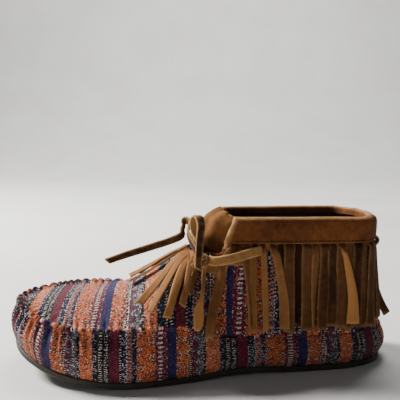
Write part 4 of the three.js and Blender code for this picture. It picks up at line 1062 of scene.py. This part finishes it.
# A strip that ends broader than this hangs as a drop
DROP = 1.5
fans = Cloths()
for side, turn_of, rows in ((-1, outer_turn, FAN[:7]), (1, inner_turn, FAN)):
    for k, (start, start_climb, end, end_climb, rise, broad, twist, tone) in enumerate(rows):
        turn = turn_of(mix(start, end, STEPS))
        climb = np.minimum(2, mix(start_climb, end_climb, STEPS ** 1.15))
        lift = STRIP_LIFT + 0.8 + rise * np.sin(math.pi * 0.75 * STEPS) + 0.35 * np.sin(STEPS * 8 + k) * STEPS
        centre = skin(turn, climb, lift)
        face = outward(turn, np.maximum(climb, 1.08))
        ahead = unit(np.cross(face, np.gradient(centre, axis=0)))
        across = turned(ahead, face, twist * STEPS ** 1.4 * side * -1)
        width = STRIP_WIDTH * mix(0.95, broad, STEPS ** 2) * (1 + 0.05 * np.sin(STEPS * 10 + k))
        if broad > DROP:
            drop_shape = mix(0.85, broad, smooth((STEPS - 0.6) / 0.28)) - 0.38 * np.sin(math.pi * STEPS)
            # The drop's broad tip is painted lighter as a highlight
            tone = mix(0.45, 1.3, smooth((STEPS - 0.45) / 0.4))
            width = STRIP_WIDTH * drop_shape * np.sqrt(1 - (np.maximum(0, STEPS - 0.88) / 0.135) ** 2)
        fans.ribbon(centre, across, face, width, STRIP_LEATHER, curl=0.45 * uneven(k, 4) * STEPS, tone=tone,
                    slant=1.1 * uneven(k, side + 3))
fans.piece("fringe_strips_instep", [fringe_suede], "suede", "fringe")

# The bands that hold the strips beside and in front of the throat
APRON_LOW = [(.4515, 1.765, 1.89), (.4635, 1.80, 1.93), (.481, 1.70, 1.90), (.499, 1.66, 1.90), (.549, 1.66, 1.90)]
apron_low, apron_high = column(APRON_LOW, 1), column(APRON_LOW, 2)


def thin_sheet(made, places, outwards, thick, tone=0.5):
    """A sheet with rounded edges: its face, its back and the border between them."""
    rows, columns = places.shape[:2]
    rim_rows = np.minimum(np.arange(rows), np.arange(rows)[::-1])[:, None] / 1.5
    rim_columns = np.minimum(np.arange(columns), np.arange(columns)[::-1])[None] / 1.5
    full = np.sqrt(smooth(np.minimum(1, np.minimum(rim_rows, rim_columns)))) * 0.75 + 0.25
    # Edges are painted lighter: wear and painted highlight
    edge = 1 - smooth(np.minimum(1, np.minimum(rim_rows, rim_columns) / 1.3))
    face = made.grid(places + outwards * (full * thick / 2)[..., None], edge=edge, tone=tone)
    back = made.grid(places - outwards * (full * thick / 2)[..., None], flip=True, edge=edge, tone=tone)
    made.rims(face, back, FIRST_ROW, LAST_ROW, FIRST_COLUMN, LAST_COLUMN)


APRON_LIFT = LAYER_GAP + 0.8 + 0.6
# Heights, back end and lift of the panels beside the throat
PANEL_LOW, PANEL_HIGH, PANEL_BACK, PANEL_LIFT = 71.5, 82.5, 0.385, 2.3
aprons = Cloths()
along, share = np.meshgrid(np.linspace(APRON_LOW[0][0], APRON_LOW[-1][0], 60), np.linspace(0, 1, 18), indexing="ij")
for turn_of in (outer_turn, inner_turn):
    climb = mix(apron_low(along), apron_high(along), share)
    turn = turn_of(along)
    thin_sheet(aprons, skin(turn, climb, np.full(turn.shape, APRON_LIFT)), outward(turn, climb), 1.2)
height, share = np.meshgrid(np.linspace(PANEL_LOW, PANEL_HIGH, 14), np.linspace(0, 1, 40), indexing="ij")
for way in (1, -1):
    turn = mix(outer_turn(PANEL_BACK), outer_turn(front_along(height)), share) * way
    panel = on_side(turn, height, PANEL_LIFT)
    thin_sheet(aprons, panel, unit(on_side(turn, height, PANEL_LIFT + 1) - panel), 1.1, tone=0.4)
along, side = np.meshgrid(np.linspace(.5435, .567, 24), np.linspace(-1, 1, 49), indexing="ij")
turn = side_turn(side, along)
climb = 2 - 0.28 * np.abs(side)
thin_sheet(aprons, skin(turn, climb, np.full(turn.shape, APRON_LIFT)), outward(turn, climb), 1.4)
aprons.piece("fringe_bands", [fringe_suede], "suede", "fringe")

# The tongue, rows from foot to peak: place along the foot, height, sweep back of its sides, their drop, width,
# and whether the row lies under the cloth
TONGUE = [(.605, 1, 0, 0, 1, 1), (.575, 1, 0, 0, 1, 1), (.552, 1, .08, 0, .98, 1), (.5385, .722, .25, 0, .94, 1),
          (.528, .732, .55, 0, .90, 1), (.519, .761, .86, .06, .90, 0), (.5165, .812, .92, .02, .92, 0),
          (.5108, .873, .92, .02, .93, 0), (.501, .930, .85, .10, .93, 0), (.479, .974, .66, .24, .90, 0),
          (.4556, 1, .40, .42, .84, 0)]


def ceiling(x, y):
    """The highest level at which the tongue stays under the cloth."""
    turn = side_turn(y, along_at(x))
    station = Station(turn)
    out = np.abs(y - station.hy)
    climb, _ = halved(np.ones_like(x), np.full_like(x, 2.0), 24, lambda climb: station.section(climb)[0] > out)
    upright_share = np.maximum(0.35, outward(turn, climb)[..., 2])
    top = station.section(climb)[1] - (WALL + GAP + 2) / upright_share
    return np.where(out < station.top_reach - 4, 1e9, top)


across = np.linspace(-1, 1, 49)[None]
solid = []
for place, up, sweep, drop, broad, covered in TONGUE:
    x = x_at(place) + sweep * across[0] ** 2 * TONGUE_HALF_WIDTH
    y = across[0] * broad * TONGUE_HALF_WIDTH
    z = up * TONGUE_PEAK_HEIGHT - drop * np.abs(across[0]) ** 1.6 * TONGUE_HALF_WIDTH
    if covered:
        z = np.minimum(z, ceiling(x, y))
    solid.append(np.stack([x, y, z], axis=-1))
solid = np.array(solid)
places = np.stack([curve_through(solid[:, j], False, 110) for j in range(solid.shape[1])], axis=1)
up_share = np.linspace(0, 1, len(places))[:, None]
outwards = unit(np.cross(np.gradient(places, axis=1), np.gradient(places, axis=0)))
outwards = outwards * np.where(outwards[..., :1] > 0, -1, 1)
free = smooth((up_share - 0.52) / 0.15)
fold = 1.3 * np.exp(-((across + 0.62) / 0.14) ** 2) - 0.9 * np.exp(-((across + 0.36) / 0.12) ** 2)
fold = fold + 0.8 * np.exp(-((across - 0.5) / 0.16) ** 2) + 0.5 * ripple(across * 24, up_share * 60, 3.0)
places = places - outwards * (TONGUE_LEATHER / 2) + outwards * (fold * free * 0.8)[..., None]
tongue = Cloths()
# The tongue's lower part, under the cloth, is painted darker as shade, with random unevenness
thin_sheet(tongue, places, outwards, TONGUE_LEATHER,
           tone=mix(0.3, 0.55, free) + 0.1 * ripple(across * 30, up_share * 70))
tongue.piece("tongue_leather", [tongue_suede], "suede", "tongue")

# The lace's bars and its loop behind the heel
OUTER_BAR = [(.372, -.522, .813), (.386, -.55, .808), (.4083, -.575, .796), (.4517, -.58, .768),
             (.4911, -.54, .748), (.5040, -.500, .752)]
INNER_BAR = [(.5215, -.385, .785), (.53, -.23, .812), (.535, 0, .836), (.529, .27, .822), (.508, .48, .782),
             (.477, .57, .776), (.4517, .6, .783), (.4083, .6, .803), (.372, .56, .813)]
for name, node, route in (("lace_bar_near", "lace_bar_outer", OUTER_BAR),
                          ("lace_bar_far", "lace_bar_inner", INNER_BAR)):
    line = curve_through(lace_spots(route), False, 60)
    step = np.gradient(line, axis=0)
    face = unit(np.cross(step, UP))
    bar = Cloths()
    bar.ribbon(line, np.cross(step, face), face, LACE_WIDTH * 1.08, LACE_LEATHER, curl=0.2, tone=0.8)
    bar.piece(name, [lace_suede], "lace_suede", node)
wall = on_side(0.0, HEADER_LOW, HEADER_OUT)[0] + LACE_LEATHER - GAP / 3
loop = np.array([(wall + out * 5, 0, HEADER_LOW + up * 3.75) for out, up in
                 ((0, 1), (.72, .8), (1, .2), (.8, -.5), (.14, -.8))])
line = curve_through(loop, False, 40)
ring = Cloths()
step = np.gradient(line, axis=0)
inward = np.broadcast_to(np.array([0.0, 1.0, 0.0]), line.shape)
ring.ribbon(line, inward, np.cross(inward, step), LACE_WIDTH, LACE_LEATHER)
ring.piece("lace_heel_ring", [lace_suede], "lace_suede", "lace_heel_loop")

# Floor that sweeps up behind, light and air, in metres
AIR_STRENGTH = 0.08
SWEEP_START, SWEEP_RADIUS = 1.5, 0.9
floor_mesh = bpy.data.meshes.new("floor")
made = bmesh.new()
bmesh.ops.create_grid(made, x_segments=8, y_segments=120, size=6.0)
for spot in made.verts:
    past = spot.co.y - SWEEP_START
    if past > 0:
        bend = min(past / SWEEP_RADIUS, math.pi / 2)
        spot.co.y = SWEEP_START + SWEEP_RADIUS * math.sin(bend)
        spot.co.z = SWEEP_RADIUS * (1 - math.cos(bend)) + past - SWEEP_RADIUS * bend
for face in made.faces:
    face.smooth = True
made.to_mesh(floor_mesh)
made.free()
floor = linked("floor", floor_mesh)
floor_mesh.materials.append(plain_stuff("floor_cloth", shade(206, 204, 202), shade(222, 221, 220), 6.0, 0.9,
                                        0.0001, 0.1))


def soft_light(name, place, target, size, power, colour):
    data = bpy.data.lights.new(name, "AREA")
    data.shape, data.size, data.energy, data.color = "DISK", size, power, colour
    lamp = linked(name, data)
    back = unit(np.array(place) - np.array(target))
    side = unit(np.cross(UP, back))
    lamp.matrix_world = stood(side, np.cross(back, side), back, place)


soft_light("window", (-1.06, 0.52, 0.88), (0, 0, 0.04), 0.45, 66.0, (1.0, 0.98, 0.95))
soft_light("fill", (-1.0, -1.1, 0.45), (0, 0, 0.05), 0.9, 2.2, (0.97, 0.98, 1.0))
soft_light("sweep", (0.3, 0.9, 2.2), (0.2, 2.4, 0.7), 1.2, 70.0, (1.0, 1.0, 1.0))
world = bpy.data.worlds.new("air")
world.use_nodes = True
world.node_tree.nodes["Background"].inputs[0].default_value = (0.82, 0.84, 0.88, 1)
world.node_tree.nodes["Background"].inputs[1].default_value = AIR_STRENGTH
bpy.context.scene.world = world
